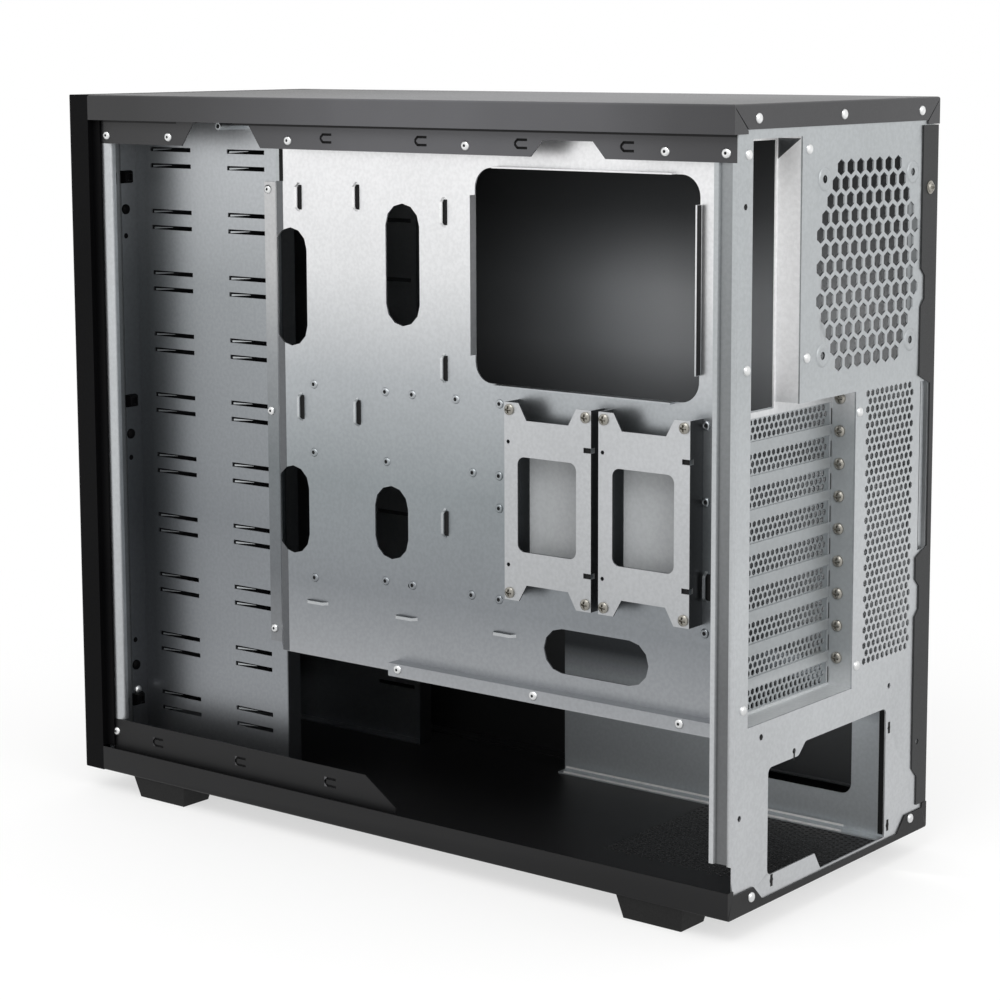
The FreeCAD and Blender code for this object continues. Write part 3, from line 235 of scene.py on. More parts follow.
rearSteel = platedSteel("rearSteel", [(0.0, "#d0d2d4"), (0.2, "#c9ccce"), (0.33, "#b9bdbf"),
                                      (0.49, "#bbbfc1")], 0.4, shade=channelShade)
traySteel = platedSteel("traySteel", trayLitTones, 0.34, shade=foldShade)
loopSteel = platedSteel("loopSteel", trayLitTones, 0.34)
cageSteel = platedSteel("cageSteel", [(0.03, "#a2a5a9"), (0.2, "#8c9094"), (0.36, "#a0a4a7"),
                                      (0.47, "#cbced1")], 0.38, shade=cageShade)
frontSteel = platedSteel("frontSteel", [(0.0, "#c0c3c5"), (0.49, "#c6c9cb")], 0.36, shade=frameShade)
panSteel = platedSteel("panSteel", [(0.12, "#e2e4e5"), (0.15, "#a0a4a6"), (0.29, "#a8acae"),
                                    (0.32, "#f4f4f5"), (0.47, "#ffffff")], 0.4, metallic=0.5)
plateSteel = platedSteel("plateSteel", [(0.015, "#c2c7ca"), (0.09, "#a8adb1"), (0.108, "#3c3f42"),
                                        (0.13, "#46494c")], 0.4, metallic=0.75)
# Near-white steel of the strips on the foot's edge: painted highlight.
highlightSteel = platedSteel("highlightSteel", [(0.0, "#f2f2f1"), (0.49, "#f2f2f1")], 0.4, metallic=0.2)
bracketSteel = platedSteel("bracketSteel", [(0.15, "#bcbec0"), (0.32, "#cbcdcf")], 0.4, mottle=0.1,
                           shade=bracketShade)
# Steel of the sheets behind the bracket windows: painted light and shade.
windowShadeSteel = platedSteel("windowShadeSteel", [(0.2, "#c3c6c8"), (0.3, "#c3c6c8")], 0.5, metallic=0.1,
                          shade=windowShade)
strapSteel = platedSteel("strapSteel", [(0.1, "#b9bcbe"), (0.165, "#b9bcbe"), (0.2, "#a2a6a9"),
                                        (0.31, "#c4c8ca"), (0.38, "#eeefef"), (0.47, "#ffffff")], 0.3,
                         metallic=0.8)
# Dark steel for the band on the tray's bend: painted shade.
bendShadeSteel = platedSteel("bendShadeSteel", [(0.1, "#66686b"), (0.45, "#6c6e70")], 0.34)
# The black paint carries a painted highlight along the middle of the cover and painted shade towards its
# ends.
paint = blackCoat("blackPaint", "#545457", "#49494c", 0.4, 1500.0, 0.2, shade=coverShade)
lowPaint = blackCoat("lowPaint", "#141415", "#101011", 0.45, 1500.0, 0.2, 0.3)
panelPaint = blackCoat("panelPaint", "#242526", "#1f2021", 0.5, 1500.0, 0.15, 0.4)
# Paint of the sheet on the left panel's inner face, darker above and below a lit band: painted shade.
innerShadePaint = blackCoat("innerShadePaint", "#262728", "#212223", 0.5, 1500.0, 0.15, 0.4, shade=innerPanelShade)
plastic = blackCoat("blackPlastic", "#080809", "#050506", 0.5, 1200.0, 0.2, 0.06)
bayPlastic = blackCoat("bayPlastic", "#1c1c1e", "#17171a", 0.5, 1200.0, 0.3, 0.3)
keyPlastic = blackCoat("keyPlastic", "#2b2b2e", "#252528", 0.4, 1400.0, 0.15, 0.4)
rubber = blackCoat("blackRubber", "#131313", "#0d0d0d", 0.7, 900.0, 0.15, 0.3)
screwSteel = platedSteel("screwSteel", [(0.0, "#96938c"), (0.49, "#a5a29a")], 0.32)
rivetMetal = platedSteel("rivetMetal", [(0.0, "#e4e5e5"), (0.49, "#eeefef")], 0.3)
boardGreen = blackCoat("circuitBoard", "#1d3a29", "#15291d", 0.45, 1000.0, 0.1)
socketMetal = platedSteel("socketMetal", [(0.0, "#b4b4b2"), (0.49, "#c4c4c2")], 0.3)
# Near-black for patches that stand for slits, holes and gaps in shade: painted shade.
gapShade = newMaterial("gapShade", "#060607", 0.0, 0.9)[0]

slotMaterials = {
    "black_paint": paint,
    "plated_steel": sheetSteel,
    "black_plastic": plastic,
    "black_rubber": rubber,
    "screw_steel": screwSteel,
    "circuit_board": boardGreen,
    "socket_metal": socketMetal,
}
nodeMaterials = {
    "motherboard_tray": traySteel,
    "tray_rail": loopSteel,
    "front_frame": frontSteel,
    "drive_cage_right": cageSteel,
    "drive_cage_left": cageSteel,
    "ssd_bracket_front": bracketSteel,
    "ssd_bracket_rear": bracketSteel,
    "left_side_panel": panelPaint,
    "bottom_tray": lowPaint,
    "bottom_rail_left": lowPaint,
    "bottom_rail_right": lowPaint,
    "io_slot_pan": panSteel,
    "rear_panel": rearSteel,
    "psu_side_plate": plateSteel,
    "power_button": keyPlastic,
    "reset_button": keyPlastic,
}
nodeMaterials.update({f"bay_cover_{i + 1}": bayPlastic for i in range(10)})
for part in frame["record"]["subparts"]:
    finish = nodeMaterials.get(part["node"], slotMaterials[part["material_slot"]])
    for materialSlot in nodes[part["node"]].material_slots:
        materialSlot.material = finish
print("stage: materials")

# Small forms, worked in numpy and repeated at their places

facing = {
    "right": np.array([[0, 1, 0], [0, 0, 1], [1, 0, 0]], float),
    "rear": np.array([[-1, 0, 0], [0, 0, 1], [0, 1, 0]], float),
    "up": np.eye(3),
}


def bands(rings, segments):
    # Four-sided faces between neighbouring rings of points.
    low = np.arange(rings - 1)[:, None] * segments
    this = np.arange(segments)[None]
    after = (this + 1) % segments
    walls = np.stack([low + this, low + after, low + segments + after, low + segments + this], -1)
    return walls.reshape(-1, 4)


def turned(profile, segments=24, start=0.0, capped=False):
    # Surface of revolution through (radius, height) rings; a capped one is a closed solid.
    radius, height = np.array(profile, float).T
    angles = np.radians(start) + np.arange(segments) * 2 * np.pi / segments
    ring = np.stack([np.cos(angles), np.sin(angles)], -1)
    flat = radius[:, None, None] * ring[None]
    rise = np.broadcast_to(height[:, None, None], (len(radius), segments, 1))
    points = np.concatenate([flat, rise], -1).reshape(-1, 3)
    faces = [bands(len(radius), segments)]
    if capped:
        first = np.arange(segments)
        faces.append(np.stack([first[::-1], first + (len(radius) - 1) * segments]))
    return points, faces


def crossHead(radius, rise, recess, steps=18, spokes=48):
    # Domed screw head with a cross recess, as a polar height field over a short skirt.
    rings = np.linspace(1.0, tip, steps)[:, None]
    angles = np.radians(np.arange(spokes) * 360 / spokes)[None]
    u = radius * rings * np.cos(angles)
    v = radius * rings * np.sin(angles)
    # Shares of the radius: half the width of an arm, the slope of its sides, its reach, the slope of its end
    arm = {"half": 0.17, "side": 0.05, "reach": 0.66, "end": 0.08}
    off = np.minimum(np.abs(u), np.abs(v)) / radius
    across = np.clip((arm["half"] - off) / arm["side"], 0, 1)
    outward = np.clip((arm["reach"] - rings) / arm["end"], 0, 1)
    height = rise * (1 - 0.55 * rings ** 2.5) - recess * (across * outward)
    skirt = np.stack([u[0], v[0], np.zeros(spokes)], -1)[None]
    points = np.concatenate([skirt, np.stack([u, v, height], -1)]).reshape(-1, 3)
    return points, [bands(steps + 1, spokes)]


def strap(length, width, rise, thick, turn=False, steps=25, rampShare=0.34):
    # Pressed-out tie loop: a strip that ramps up, runs level and ramps down.
    t = np.linspace(-1, 1, steps)
    ramped = np.clip((1 - np.abs(t)) / rampShare, 0, 1)
    top = rise * ramped * ramped * (3 - 2 * ramped)
    sides = np.array([-width / 2, width / 2, width / 2, -width / 2])
    points = np.empty((steps, 4, 3))
    points[:, :, 0] = sides[None]
    points[:, :, 1] = (t * length / 2)[:, None]
    points[:, :2, 2] = top[:, None]
    points[:, 2:, 2] = top[:, None] - thick
    if turn:
        points = np.stack([points[:, :, 1], -points[:, :, 0], points[:, :, 2]], -1)
    return points.reshape(-1, 3), [bands(steps, 4)]


def disc(radius, rise):
    # Flat round plate at the given height.
    return turned([(radius, rise), (tip, rise)])


def patch(width, tall, rise):
    # Flat oblong plate, a little proud of what carries it.
    ends = np.array([[-1, -1], [1, -1], [1, 1], [-1, 1]]) * np.array([width, tall]) / 2
    return np.column_stack([ends, np.full(4, rise)]), [np.array([[0, 1, 2, 3]])]


def hookCorner(corner, leg):
    # Two small triangles that round the front corners of a hook slit.
    ahead, tall = corner
    points = [(-ahead, tall, 0), (-ahead, tall - leg, 0), (-ahead + leg, tall, 0),
              (-ahead, -tall, 0), (-ahead + leg, -tall, 0), (-ahead, -tall + leg, 0)]
    return np.array(points, float), [np.array([[0, 1, 2], [3, 4, 5]])]


def sliver(length, thick, end, climb):
    # Thin slanted strip that narrows towards its upper end.
    points = [(-length / 2, -climb - thick / 2, 0), (length / 2, climb - end / 2, 0),
              (length / 2, climb + end / 2, 0), (-length / 2, -climb + thick / 2, 0)]
    return np.array(points, float), [np.array([[0, 1, 2, 3]])]


def repeated(form, places, side):
    # The form at each (x, s, h) place, its own height turned to the given side.
    points, groups = form
    spots = np.array([at(*place) for place in places])
    many = (spots[:, None, :] + metres(points @ facing[side])[None]).reshape(-1, 3)
    steps = np.arange(len(spots))[:, None, None] * len(points)
    return many, [(group[None] + steps).reshape(-1, group.shape[1]) for group in groups]


def joined(*parts):
    # Several repeated forms as one, their faces numbered on.
    points = []
    groups = []
    count = 0
    for some, others in parts:
        points.append(some)
        groups += [group + count for group in others]
        count += len(some)
    return np.concatenate(points), groups


def faceLists(groups):
    return [face for group in groups for face in group.tolist()]


def makePiece(name, form, material):
    points, groups = form
    mesh = bpy.data.meshes.new(name)
    mesh.from_pydata(points.tolist(), [], faceLists(groups))
    mesh.materials.append(material)
    mesh.shade_smooth()
    mesh.set_sharp_from_angle(angle=formSharp)
    piece = bpy.data.objects.new(name, mesh)
    scene.collection.objects.link(piece)
    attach(piece, "case")
    return piece


def pierced(name, nodeNames, cutterForm, material):
    # Joined copy of CAD nodes with many small holes cut through; it stands for those nodes.
    cutterMesh = bpy.data.meshes.new(name + "Cutter")
    cutterMesh.from_pydata(cutterForm[0].tolist(), [], faceLists(cutterForm[1]))
    cutter = bpy.data.objects.new(name + "Cutter", cutterMesh)
    scene.collection.objects.link(cutter)
    work = bmesh.new()
    for nodeName in nodeNames:
        work.from_mesh(nodes[nodeName].data)
    bmesh.ops.remove_doubles(work, verts=work.verts, dist=1e-6)
    mesh = bpy.data.meshes.new(name)
    work.to_mesh(mesh)
    work.free()
    piece = bpy.data.objects.new(name, mesh)
    scene.collection.objects.link(piece)
    holes = piece.modifiers.new("holes", "BOOLEAN")
    holes.operation = "DIFFERENCE"
    holes.solver = "EXACT"
    holes.object = cutter
    graph = bpy.context.evaluated_depsgraph_get()
    piece.data = bpy.data.meshes.new_from_object(piece.evaluated_get(graph))
    piece.modifiers.clear()
    bpy.data.objects.remove(cutter)
    piece.data.materials.clear()
    piece.data.materials.append(material)
    piece.data.shade_smooth()
    piece.data.set_sharp_from_angle(angle=sheetSharp)
    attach(piece, "case")
    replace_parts(piece, *nodeNames)
    print("pierced", name, len(piece.data.polygons))
    return piece


def hexagonal(radius, deep):
    # Cutter of one six-sided hole, a point up.
    return turned([(radius, 0.0), (radius, deep)], 6, 30, True)


def staggered(columns, rows, pitch, rowPitch, start, top):
    # Centres of a staggered field; every second row is moved on by half a pitch.
    row, column = np.mgrid[0:rows, 0:columns]
    across = start - (column + 0.5 * (row % 2)) * pitch
    down = top - row * rowPitch
    return across.ravel(), down.ravel()


# Perforated slot covers

coverHoles = {"columns": 20, "pitch": 5.13, "rows": 3, "rowPitch": 4.3, "start": 84.4, "radius": 2.05,
              "lowSlot": 119.88, "s": 21.0, "deep": 3.0}
coverPlaces = []
for index in range(slotCount):
    middle = coverHoles["lowSlot"] + index * slotPitch
    across, down = staggered(coverHoles["columns"], coverHoles["rows"], coverHoles["pitch"],
                             coverHoles["rowPitch"], coverHoles["start"], middle + coverHoles["rowPitch"])
    coverPlaces += [(x, coverHoles["s"], h) for x, h in zip(across, down)]
coverCutter = hexagonal(coverHoles["radius"], coverHoles["deep"])
pierced("slotCovers", [f"slot_cover_{i + 1}" for i in range(slotCount)],
        repeated(coverCutter, coverPlaces, "rear"), sheetSteel)

# Rear panel with its vent strip and the dimples of the fan screws

vent = {"columns": 10, "pitch": 5.75, "rows": 35, "rowPitch": 4.95, "start": -35.8, "top": 294.3,
        "radius": 2.3, "s": 4.0, "deep": 5.0}
fanDimple = {"x": -34.0, "h": 375.5, "reach": 52.5, "radius": 7.0, "depth": 0.8, "hole": 2.3,
             "over": 1.2}
across, down = staggered(vent["columns"], vent["rows"], vent["pitch"], vent["rowPitch"],
                         vent["start"], vent["top"])
ventPlaces = [(x, vent["s"], h) for x, h in zip(across, down)]
ventCutter = repeated(hexagonal(vent["radius"], vent["deep"]), ventPlaces, "rear")
dimplePlaces = [(fanDimple["x"] + a * fanDimple["reach"], rearSheet + fanDimple["depth"],
                 fanDimple["h"] + b * fanDimple["reach"]) for a in (-1, 1) for b in (-1, 1)]
dimpleRise = fanDimple["depth"] * fanDimple["over"]
dimpleWide = fanDimple["hole"] + (fanDimple["radius"] - fanDimple["hole"]) * fanDimple["over"]
dimpleCutter = repeated(turned([(fanDimple["hole"], 0.0), (dimpleWide, dimpleRise)], 36, 0, True),
                        dimplePlaces, "rear")
pierced("rearPanel", ["rear_panel"], joined(ventCutter, dimpleCutter), rearSteel)

# Floor with the fine vent under the power supply

floorVent = {"columns": 26, "pitch": 5.0, "rows": 31, "rowPitch": 4.35, "start": 50.0, "rear": 6.0,
             "radius": 1.6, "h": -2.0, "deep": 5.0}
across, down = staggered(floorVent["columns"], floorVent["rows"], floorVent["pitch"],
                         floorVent["rowPitch"], floorVent["start"], 0.0)
floorPlaces = [(x, floorVent["rear"] - y, floorVent["h"]) for x, y in zip(across, down)]
floorCutter = hexagonal(floorVent["radius"], floorVent["deep"])
pierced("floorTray", ["bottom_tray"], repeated(floorCutter, floorPlaces, "up"), lowPaint)
print("stage: pierced sheets")

# Tie loops pressed out of the tray, each over its slot, shown as a near-black patch of painted shade

tieLoop = {"length": 19.0, "width": 1.9, "rise": 3.2, "thick": 0.9, "slotWide": 4.4, "slotLong": 16.0,
           "slotOff": -0.6}
uprightLoops = [(353.4, 409.0), (303.4, 410.8), (230.9, 403.8), (231.2, 305.7), (353.5, 270.9),
                (304.1, 271.5), (231.2, 206.7), (32.8, 191.0)]
levelLoops = [(341.2, 141.0), (264.3, 141.0), (184.0, 141.4)]
strapSizes = (tieLoop["length"], tieLoop["width"], tieLoop["rise"], tieLoop["thick"])
makePiece("tieLoops", joined(
    repeated(strap(*strapSizes), [(trayFace, s, h) for s, h in uprightLoops], "right"),
    repeated(strap(*strapSizes, turn=True), [(trayFace, s, h) for s, h in levelLoops], "right")),
    strapSteel)
makePiece("tieSlotShade", repeated(
    patch(tieLoop["slotWide"], tieLoop["slotLong"], proud),
    [(trayFace, s + tieLoop["slotOff"], h) for s, h in uprightLoops], "right"), gapShade)

# Pressed screw bosses of the tray, each with its threaded hole shown as a near-black disc of painted shade

boardMark = {"hole": (1.25, 0.3),
             "rings": [(3.0, 0.0), (2.7, 0.6), (2.2, 1.0), (1.7, 1.1), (1.25, 0.9), (1.2, 0.1)]}
markPlaces = [(s, 286.8) for s in (33.7, 187.0, 222.0, 257.8, 280.3, 341.9)]
markPlaces += [(s, 241.5) for s in (33.7, 187.6, 208.7, 279.7, 342.6)]
markPlaces += [(s, 163.0) for s in (33.7, 187.9, 210.0, 258.6, 281.5)]
markPlaces += [(343.3, 157.4), (187.6, 221.0)]
markSpots = [(trayFace, s, h) for s, h in markPlaces]
makePiece("boardMarks", repeated(turned(boardMark["rings"]), markSpots, "right"), loopSteel)
makePiece("boardMarkHoleShade", repeated(disc(*boardMark["hole"]), markSpots, "right"), gapShade)

# Rivets: plain domes that face the rear, heads that face right with a small near-black disc of painted shade
# in the middle

rivet = {"rings": [(3.1, 0.0), (3.0, 0.5), (2.6, 1.0), (2.0, 1.35), (1.3, 1.5), (0.95, 1.4), (0.85, 0.7)],
         "hole": (0.86, 0.8),
         "dome": [(3.1, 0.0), (3.0, 0.5), (2.6, 1.0), (1.9, 1.4), (1.0, 1.6), (tip, 1.65)]}
rearRivets = [(x, 0.0, 465.7) for x in (93.0, -1.0, -95.0)]
rearRivets += [(92.7, 0.0, 8.6), (-96.6, 0.0, 10.5)]
rearRivets += [(x, rearSheet, h) for x, h in ((101.6, 445.4), (36.5, 446.3), (101.7, 322.4), (36.5, 323.4),
                                              (-26.1, 284.0), (-26.9, 125.1), (101.9, 123.2))]
rearRivets += [(85.0, 523.0, 51.5)]
rightRivets = [(112.0, s, 446.5) for s in (513.0, 453.6, 345.0, 198.4, 51.0, 9.3)]
rightRivets += [(112.0, 517.0, 28.0)]
rightRivets += [(77.0, 396.0, h) for h in (412.0, 262.7, 112.7)]
rightRivets += [(103.0, s, 108.5) for s in (264.0, 154.0, 45.0)]
makePiece("rivets", joined(repeated(turned(rivet["dome"]), rearRivets, "rear"),
                           repeated(turned(rivet["rings"]), rightRivets, "right")), rivetMetal)
makePiece("rivetHoleShade", repeated(disc(*rivet["hole"]), rightRivets, "right"), gapShade)

# Bezel clips that show through the front frame, and the pin under the top rail with its bore as a near-black
# disc of painted shade

clips = {"x": 86.5, "s": 523.0, "square": (416.9, 45.6), "round": (394.4, 236.6, 70.1), "latch": (260.2,),
         "small": (375.9, 219.7, 88.3)}
squareClip = turned([(6.2, 0.0), (6.2, 2.0), (5.0, 4.5), (3.4, 5.0), (3.0, 3.0), (tip, 3.0)], 4, 45)
roundClip = turned([(3.6, 0.0), (3.4, 1.0), (2.4, 1.8), (tip, 2.0)])
smallClip = turned([(1.9, 0.0), (1.7, 0.3), (tip, 0.3)])
clipForms = {"square": squareClip, "round": roundClip, "latch": squareClip, "small": smallClip}
bezelClips = makePiece("bezelClips", joined(*[
    repeated(form, [(clips["x"], clips["s"], h) for h in clips[kind]], "rear")
    for kind, form in clipForms.items()]), plastic)
bezelClips.visible_glossy = False
pin = {"place": (76.0, 418.7, 454.0), "bore": (1.45, 22.0),
       "rings": [(2.6, 0.0), (2.6, 24.0), (2.3, 24.5), (1.5, 24.5), (1.4, 21.0)]}
makePiece("railPin", repeated(turned(pin["rings"]), [pin["place"]], "right"), sheetSteel)
makePiece("railPinBoreShade", repeated(disc(*pin["bore"]), [pin["place"]], "right"), gapShade)

# Near-black patches of painted shade standing for slits and holes: behind the rail hooks, at the far end of
# each slot, beside the cage, around the supply opening, in the brackets and at two spare holes

slits = {"hookX": 110.9, "hookS": (78.0, 156.0, 234.0, 312.5), "hookH": 448.5,
         "floorHookS": (315.5, 397.0, 476.0), "floorHookH": 26.5, "hookSize": (15.0, 11.0),
         "slot": (-21.4, 18.0, 118.1), "slotSize": (1.7, 10.0),
         "cage": (trayFace, 368.5, 430.0), "cageSize": (3.4, 22.0),
         "plate": (-76.0, 7.5, 47.0), "plateSize": (9.0, 88.0),
         "notch": (45.0, rearSheet, 84.6), "notchSize": (1.6, 7.0),
         "holes": ((-69.0, 76.5), (-69.0, 12.5), (69.0, 12.5)), "holeSize": (2.6, 7.4),
         "spare": ((82.3, rearSheet, 103.3), (104.5, rearSheet, 416.0)), "spareHole": 1.7}
hookSpots = [(slits["hookX"], s, slits["hookH"]) for s in slits["hookS"]]
hookSpots += [(slits["hookX"], s, slits["floorHookH"]) for s in slits["floorHookS"]]
slotX, slotS, slotLow = slits["slot"]
slotSpots = [(slotX, slotS, slotLow + i * slotPitch) for i in range(slotCount)]
holeSpots = [(x, rearSheet, h) for x, h in slits["holes"]]
keyhole = {"x": 106.45, "s": (38.9, 110.1), "h": (190.0, 266.6), "size": (4.7, 3.3)}
keyholeSpots = [(keyhole["x"], s, h) for s in keyhole["s"] for h in keyhole["h"]]
hook = {"outer": (5.0, 3.25), "outerLeg": 2.4, "inner": (3.4, 1.65), "innerLeg": 1.5, "x": 112.06}
hookFaces = [(hook["x"], *spot[1:]) for spot in hookSpots]
makePiece("slitShade", joined(
    repeated(patch(*slits["hookSize"], 0.0), hookSpots, "right"),
    repeated(patch(*slits["slotSize"], proud), slotSpots, "rear"),
    repeated(patch(*slits["cageSize"], proud), [slits["cage"]], "right"),
    repeated(patch(*slits["plateSize"], proud), [slits["plate"]], "right"),
    repeated(patch(*slits["notchSize"], proud), [slits["notch"]], "rear"),
    repeated(patch(*slits["holeSize"], proud), holeSpots, "rear"),
    repeated(disc(slits["spareHole"], proud), slits["spare"], "rear"),
    repeated(patch(*keyhole["size"], 0.0), keyholeSpots, "right"),
    repeated(hookCorner(hook["inner"], hook["innerLeg"]), hookFaces, "right")), gapShade)
makePiece("hookCorners", repeated(hookCorner(hook["outer"], hook["outerLeg"]), hookFaces, "right"), paint)

# Painted shadow under the cover's seam, painted shade on the bend of the tray towards the cage and on the
# inner face of the left panel, painted shade on the rear hem of the large cut-out, the cage edge above the
# bend, and painted light and shade on the tray behind the bracket windows

seam = {"x": 112.0, "h": 456.3, "tall": 1.8, "runs": ((198.0, 392.0), (487.0, 82.0))}
makePiece("coverSeamShadow", joined(*[
    repeated(patch(run, seam["tall"], proud), [(seam["x"], s, seam["h"])], "right")
    for s, run in seam["runs"]]), lowPaint)
# A band of dark steel on the tray's face where it bends towards the cage: painted shade.
bend = {"x": trayFace + proud, "s": (373.0, 367.3),
        "runs": ((419.0, 419.0, 387.6, 382.4), (317.6, 312.4, 229.5, 224.2), (178.8, 173.5, 104.2, 104.2))}
front, behind = bend["s"]
bendPoints = np.array([at(bend["x"], s, h) for run in bend["runs"]
                       for s, h in zip((front, behind, behind, front), run)])
bendFaces = np.array([[3, 2, 1, 0]]) + 4 * np.arange(len(bend["runs"]))[:, None]
makePiece("trayBendShade", (bendPoints, [bendFaces]), bendShadeSteel)
# A sheet on the left panel's inner face whose paint darkens above and below a lit band: painted shade.
innerShade = {"place": (-117.0, 206.0, 341.0), "size": (398.0, 222.0)}
makePiece("panelInnerShade", repeated(patch(*innerShade["size"], proud), [innerShade["place"]], "right"), innerShadePaint)
hem = {"place": (96.1, 38.0, 365.8), "size": (4.4, 99.0)}
makePiece("hemShade", repeated(patch(*hem["size"], proud), [hem["place"]], "rear"), lowPaint)
cheek = {"place": (trayFace, 371.6, 430.0), "size": (2.8, 22.0)}
makePiece("slitCheek", repeated(patch(*cheek["size"], proud), [cheek["place"]], "right"), sheetSteel)
# Flat sheets on the tray behind the bracket windows, toned against the fall of light: painted light and
# shade.
windowSheet = {"s": (68.5, 139.5), "h": 229.0, "size": (48.0, 66.0), "rise": 0.2}
makePiece("windowShadeSheets", repeated(
    patch(*windowSheet["size"], windowSheet["rise"]),
    [(trayFace, s, windowSheet["h"]) for s in windowSheet["s"]], "right"), windowShadeSteel)

# Tongues that show in the bay slots of the cage

tongue = {"x": 75.3, "s": (497.0, 424.0), "bays": 10, "low": 39.7, "pitch": 42.8, "rise": 11.2,
          "form": {"length": 18.0, "thick": 1.3, "end": 0.2, "climb": 0.5}}
tongueSpots = [(tongue["x"], s, tongue["low"] + i * tongue["pitch"] + r)
               for s in tongue["s"] for i in range(tongue["bays"]) for r in (0.0, tongue["rise"])]
makePiece("bayTongues", repeated(sliver(**tongue["form"]), tongueSpots, "right"), sheetSteel)

# Painted highlight on the upturned edge of the supply plate's foot, painted shade across the folded corner
# of the pan, raised rings of the fan screws

footEdgeHighlight = {"places": ((-67.5, 146.0, 2.8), (-70.5, 146.0, 5.6)), "size": (224.0, 1.5)}
makePiece("footEdgeHighlight", repeated(patch(*footEdgeHighlight["size"], 0.0), footEdgeHighlight["places"], "right"), highlightSteel)
panCornerShade = {"x": 44.0 + proud, "corners": ((2.2, 452.8), (17.8, 452.8), (17.8, 440.5))}
cornerPoints = np.array([at(panCornerShade["x"], s, h) for s, h in panCornerShade["corners"]])
makePiece("panCornerShade", (cornerPoints, [np.array([[0, 1, 2]])]), cageSteel)
fanRing = {"rings": [(7.2, 0.0), (6.6, 0.45), (5.6, 0.75), (4.6, 0.5), (3.4, 0.12), (2.4, 0.04)]}
ringPlaces = [(x, rearSheet, h) for x, _, h in dimplePlaces]
makePiece("fanRings", repeated(turned(fanRing["rings"], 36), ringPlaces, "rear"), rearSteel)

# Screws of the drive brackets, of the side panel and of the slot covers

earScrew = {"x": 107.5, "s": (39.6, 97.3, 110.8, 168.5), "h": (172.5, 286.5), "radius": 3.4, "rise": 2.0,
            "recess": 1.5}
earPlaces = [(earScrew["x"], s, h) for s in earScrew["s"] for h in earScrew["h"]]
makePiece("bracketScrews", repeated(crossHead(earScrew["radius"], earScrew["rise"], earScrew["recess"]),
                                    earPlaces, "right"), screwSteel)

panelScrew = {"x": -107.0, "h": 417.5, "radius": 3.4, "rise": 2.4, "recess": 1.4,
              "washer": [(4.2, 0.0), (4.2, 0.5), (3.9, 0.7), (3.0, 0.7)]}
panelSpot = [(panelScrew["x"], 0.0, panelScrew["h"])]
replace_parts(makePiece("panelScrew", joined(
    repeated(turned(panelScrew["washer"], 36), panelSpot, "rear"),
    repeated(crossHead(panelScrew["radius"], panelScrew["rise"], panelScrew["recess"]), panelSpot, "rear")),
    screwSteel), "panel_screw")

slotScrew = {"x": -21.5, "s": 12.0, "lowest": 129.58, "radius": 3.6, "rise": 2.5, "recess": 1.2}
slotScrewPlaces = [(slotScrew["x"], slotScrew["s"], slotScrew["lowest"] + i * slotPitch)
                   for i in range(slotCount)]
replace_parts(makePiece("slotScrews", repeated(
    crossHead(slotScrew["radius"], slotScrew["rise"], slotScrew["recess"]), slotScrewPlaces, "right"),
    screwSteel), "slot_screws")
print("stage: fasteners")

# Stage: pale floor, white surroundings, soft lights and the camera of the photograph

studio = {"floorReach": 6.0, "fadeStart": 0.35, "fadeEnd": 0.95, "fadeNear": 0.62, "glossNear": 0.8,
          "glossFar": 1.05, "glossStart": 0.25, "glossEnd": 2.0, "ambient": 1.0}
lamps = {
    "keyLight": {"place": (1.7, 0.5, 2.2), "target": (0, 0, 0.25), "size": (1.6, 1.2), "power": 22},
    "fillLight": {"place": (0.6, 2.2, 1.4), "target": (0, 0, 0.25), "size": (1.5, 1.5), "power": 12},
    "insideLight": {"place": (-0.027, 0.045, 0.337), "target": (-0.117, 0.045, 0.337), "size": (0.06, 0.06),
                    "power": 0.47, "mirrored": False},
    "rearGlow": {"place": (-0.05, 0.205, 0.26), "target": (-0.117, 0.205, 0.26), "size": (0.05, 0.28),
                 "power": 1.1, "mirrored": False},
}
reach = studio["floorReach"]
floorMesh = bpy.data.meshes.new("floor")
floorMesh.from_pydata([(-reach, -reach, 0), (reach, -reach, 0), (reach, reach, 0), (-reach, reach, 0)], [],
                      [(0, 1, 2, 3)])
floor = bpy.data.objects.new("floor", floorMesh)
scene.collection.objects.link(floor)
floorMaterial, floorTree, floorShader = newMaterial("floorPale", "#f4f4f3", 0.0, 0.8)
floorMesh.materials.append(floorMaterial)


def distanceRamp(tree, start, end, near, far):
    # A value that goes from near to far between two distances from the middle of the floor.
    coords = addNode(tree, "ShaderNodeTexCoord")
    away = addNode(tree, "ShaderNodeVectorMath", {0: coords.outputs["Object"]}, operation="LENGTH")
    return addNode(tree, "ShaderNodeMapRange", {
        "Value": away.outputs["Value"], "From Min": start, "From Max": end, "To Min": near, "To Max": far},
        interpolation_type="SMOOTHSTEP").outputs["Result"]


rays = addNode(floorTree, "ShaderNodeLightPath")
whiteGlow = addNode(floorTree, "ShaderNodeEmission", {"Color": grey(1.0), "Strength": 1.0})
# Seen only in mirror images, the floor glows dimmer near the case and brighter far off: painted reflection.
mirrorGlow = addNode(floorTree, "ShaderNodeEmission", {
    "Color": grey(1.0),
    "Strength": distanceRamp(floorTree, studio["glossStart"], studio["glossEnd"], studio["glossNear"],
                             studio["glossFar"])})
faded = addNode(floorTree, "ShaderNodeMixShader", {
    "Fac": distanceRamp(floorTree, studio["fadeStart"], studio["fadeEnd"], studio["fadeNear"], 1.0),
    1: floorShader.outputs["BSDF"], 2: whiteGlow.outputs["Emission"]})
shown = addNode(floorTree, "ShaderNodeMixShader", {
    "Fac": rays.outputs["Is Glossy Ray"], 1: faded.outputs["Shader"], 2: mirrorGlow.outputs["Emission"]})
floorTree.links.new(shown.outputs["Shader"], floorTree.nodes["Material Output"].inputs["Surface"])

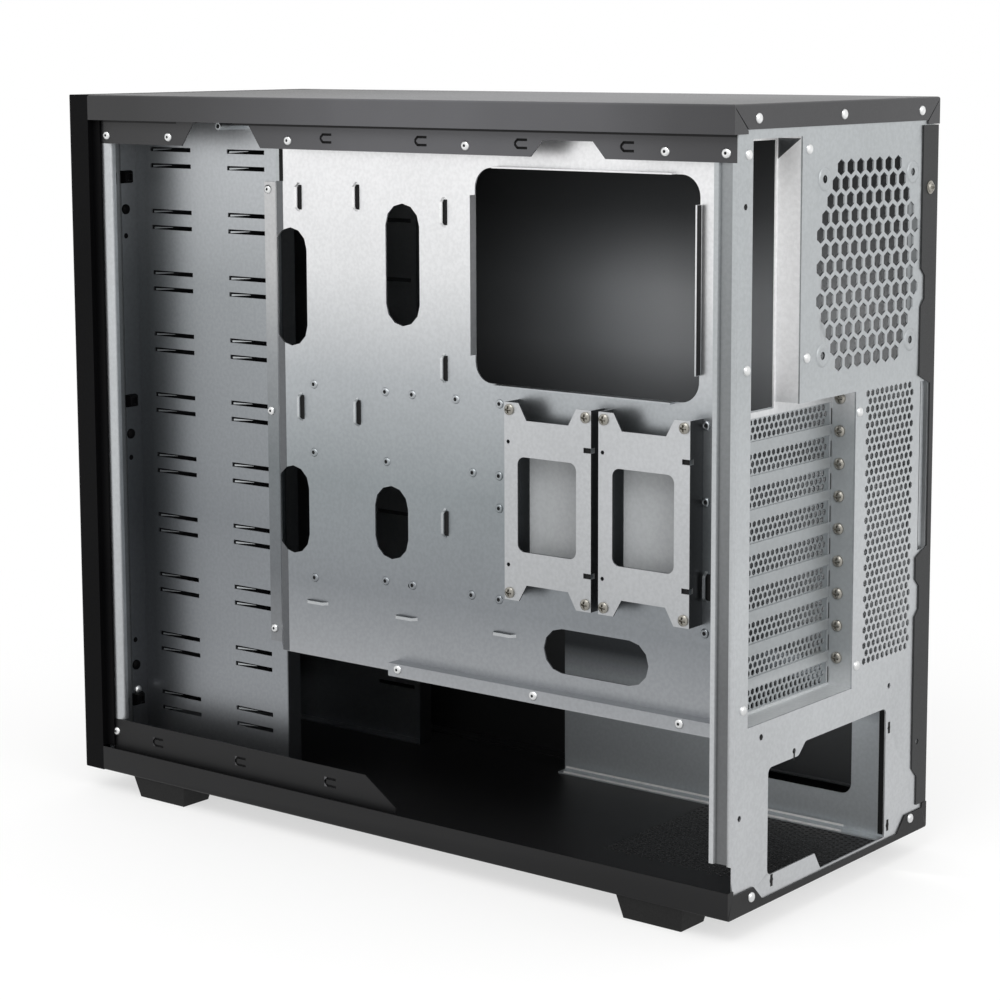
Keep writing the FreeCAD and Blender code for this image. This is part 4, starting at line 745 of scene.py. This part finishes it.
world = bpy.data.worlds.new("studio")
scene.world = world
world.use_nodes = True
worldTree = world.node_tree
worldRays = addNode(worldTree, "ShaderNodeLightPath")
worldTree.nodes["Background"].inputs["Color"].default_value = grey(1.0)
worldLevel = addNode(worldTree, "ShaderNodeMapRange", {
    "Value": worldRays.outputs["Is Camera Ray"], "To Min": studio["ambient"], "To Max": 1.0})
worldTree.links.new(worldLevel.outputs["Result"], worldTree.nodes["Background"].inputs["Strength"])


def softLight(name, place, target, size, power, mirrored=True):
    # Oblong lamp that faces its target; one that isn't mirrored leaves no image of itself in the sheets.
    data = bpy.data.lights.new(name, "AREA")
    data.shape = "RECTANGLE"
    data.size, data.size_y = size
    data.energy = power
    lamp = bpy.data.objects.new(name, data)
    scene.collection.objects.link(lamp)
    lamp.location = place
    away = Vector(place) - Vector(target)
    lamp.rotation_euler = away.to_track_quat("Z", "Y").to_euler()
    lamp.visible_camera = False
    lamp.visible_glossy = mirrored


for lampName, lampSettings in lamps.items():
    softLight(lampName, **lampSettings)

view = {"azimuth": 128.19, "elevation": 7.92, "roll": -0.19, "lens": 93.03, "shiftY": -0.1,
        "place": (1.33896, 1.06473, 0.52472)}


def cameraMatrix():
    azimuth = math.radians(view["azimuth"])
    elevation = math.radians(view["elevation"])
    roll = math.radians(view["roll"])
    back = Vector((math.sin(azimuth) * math.cos(elevation),
                   -math.cos(azimuth) * math.cos(elevation), math.sin(elevation)))
    right = Vector((0, 0, 1)).cross(back).normalized()
    up = back.cross(right)
    right, up = (right * math.cos(roll) + up * math.sin(roll),
                 up * math.cos(roll) - right * math.sin(roll))
    turn = Matrix((right, up, back)).transposed()
    return Matrix.Translation(view["place"]) @ turn.to_4x4()


cameraData = bpy.data.cameras.new("camera")
cameraData.sensor_width = 36.0
cameraData.lens = view["lens"]
cameraData.shift_y = view["shiftY"]
camera = bpy.data.objects.new("camera", cameraData)
scene.collection.objects.link(camera)
camera.matrix_world = cameraMatrix()
scene.camera = camera
scene.view_settings.view_transform = "Standard"
print("stage: studio")
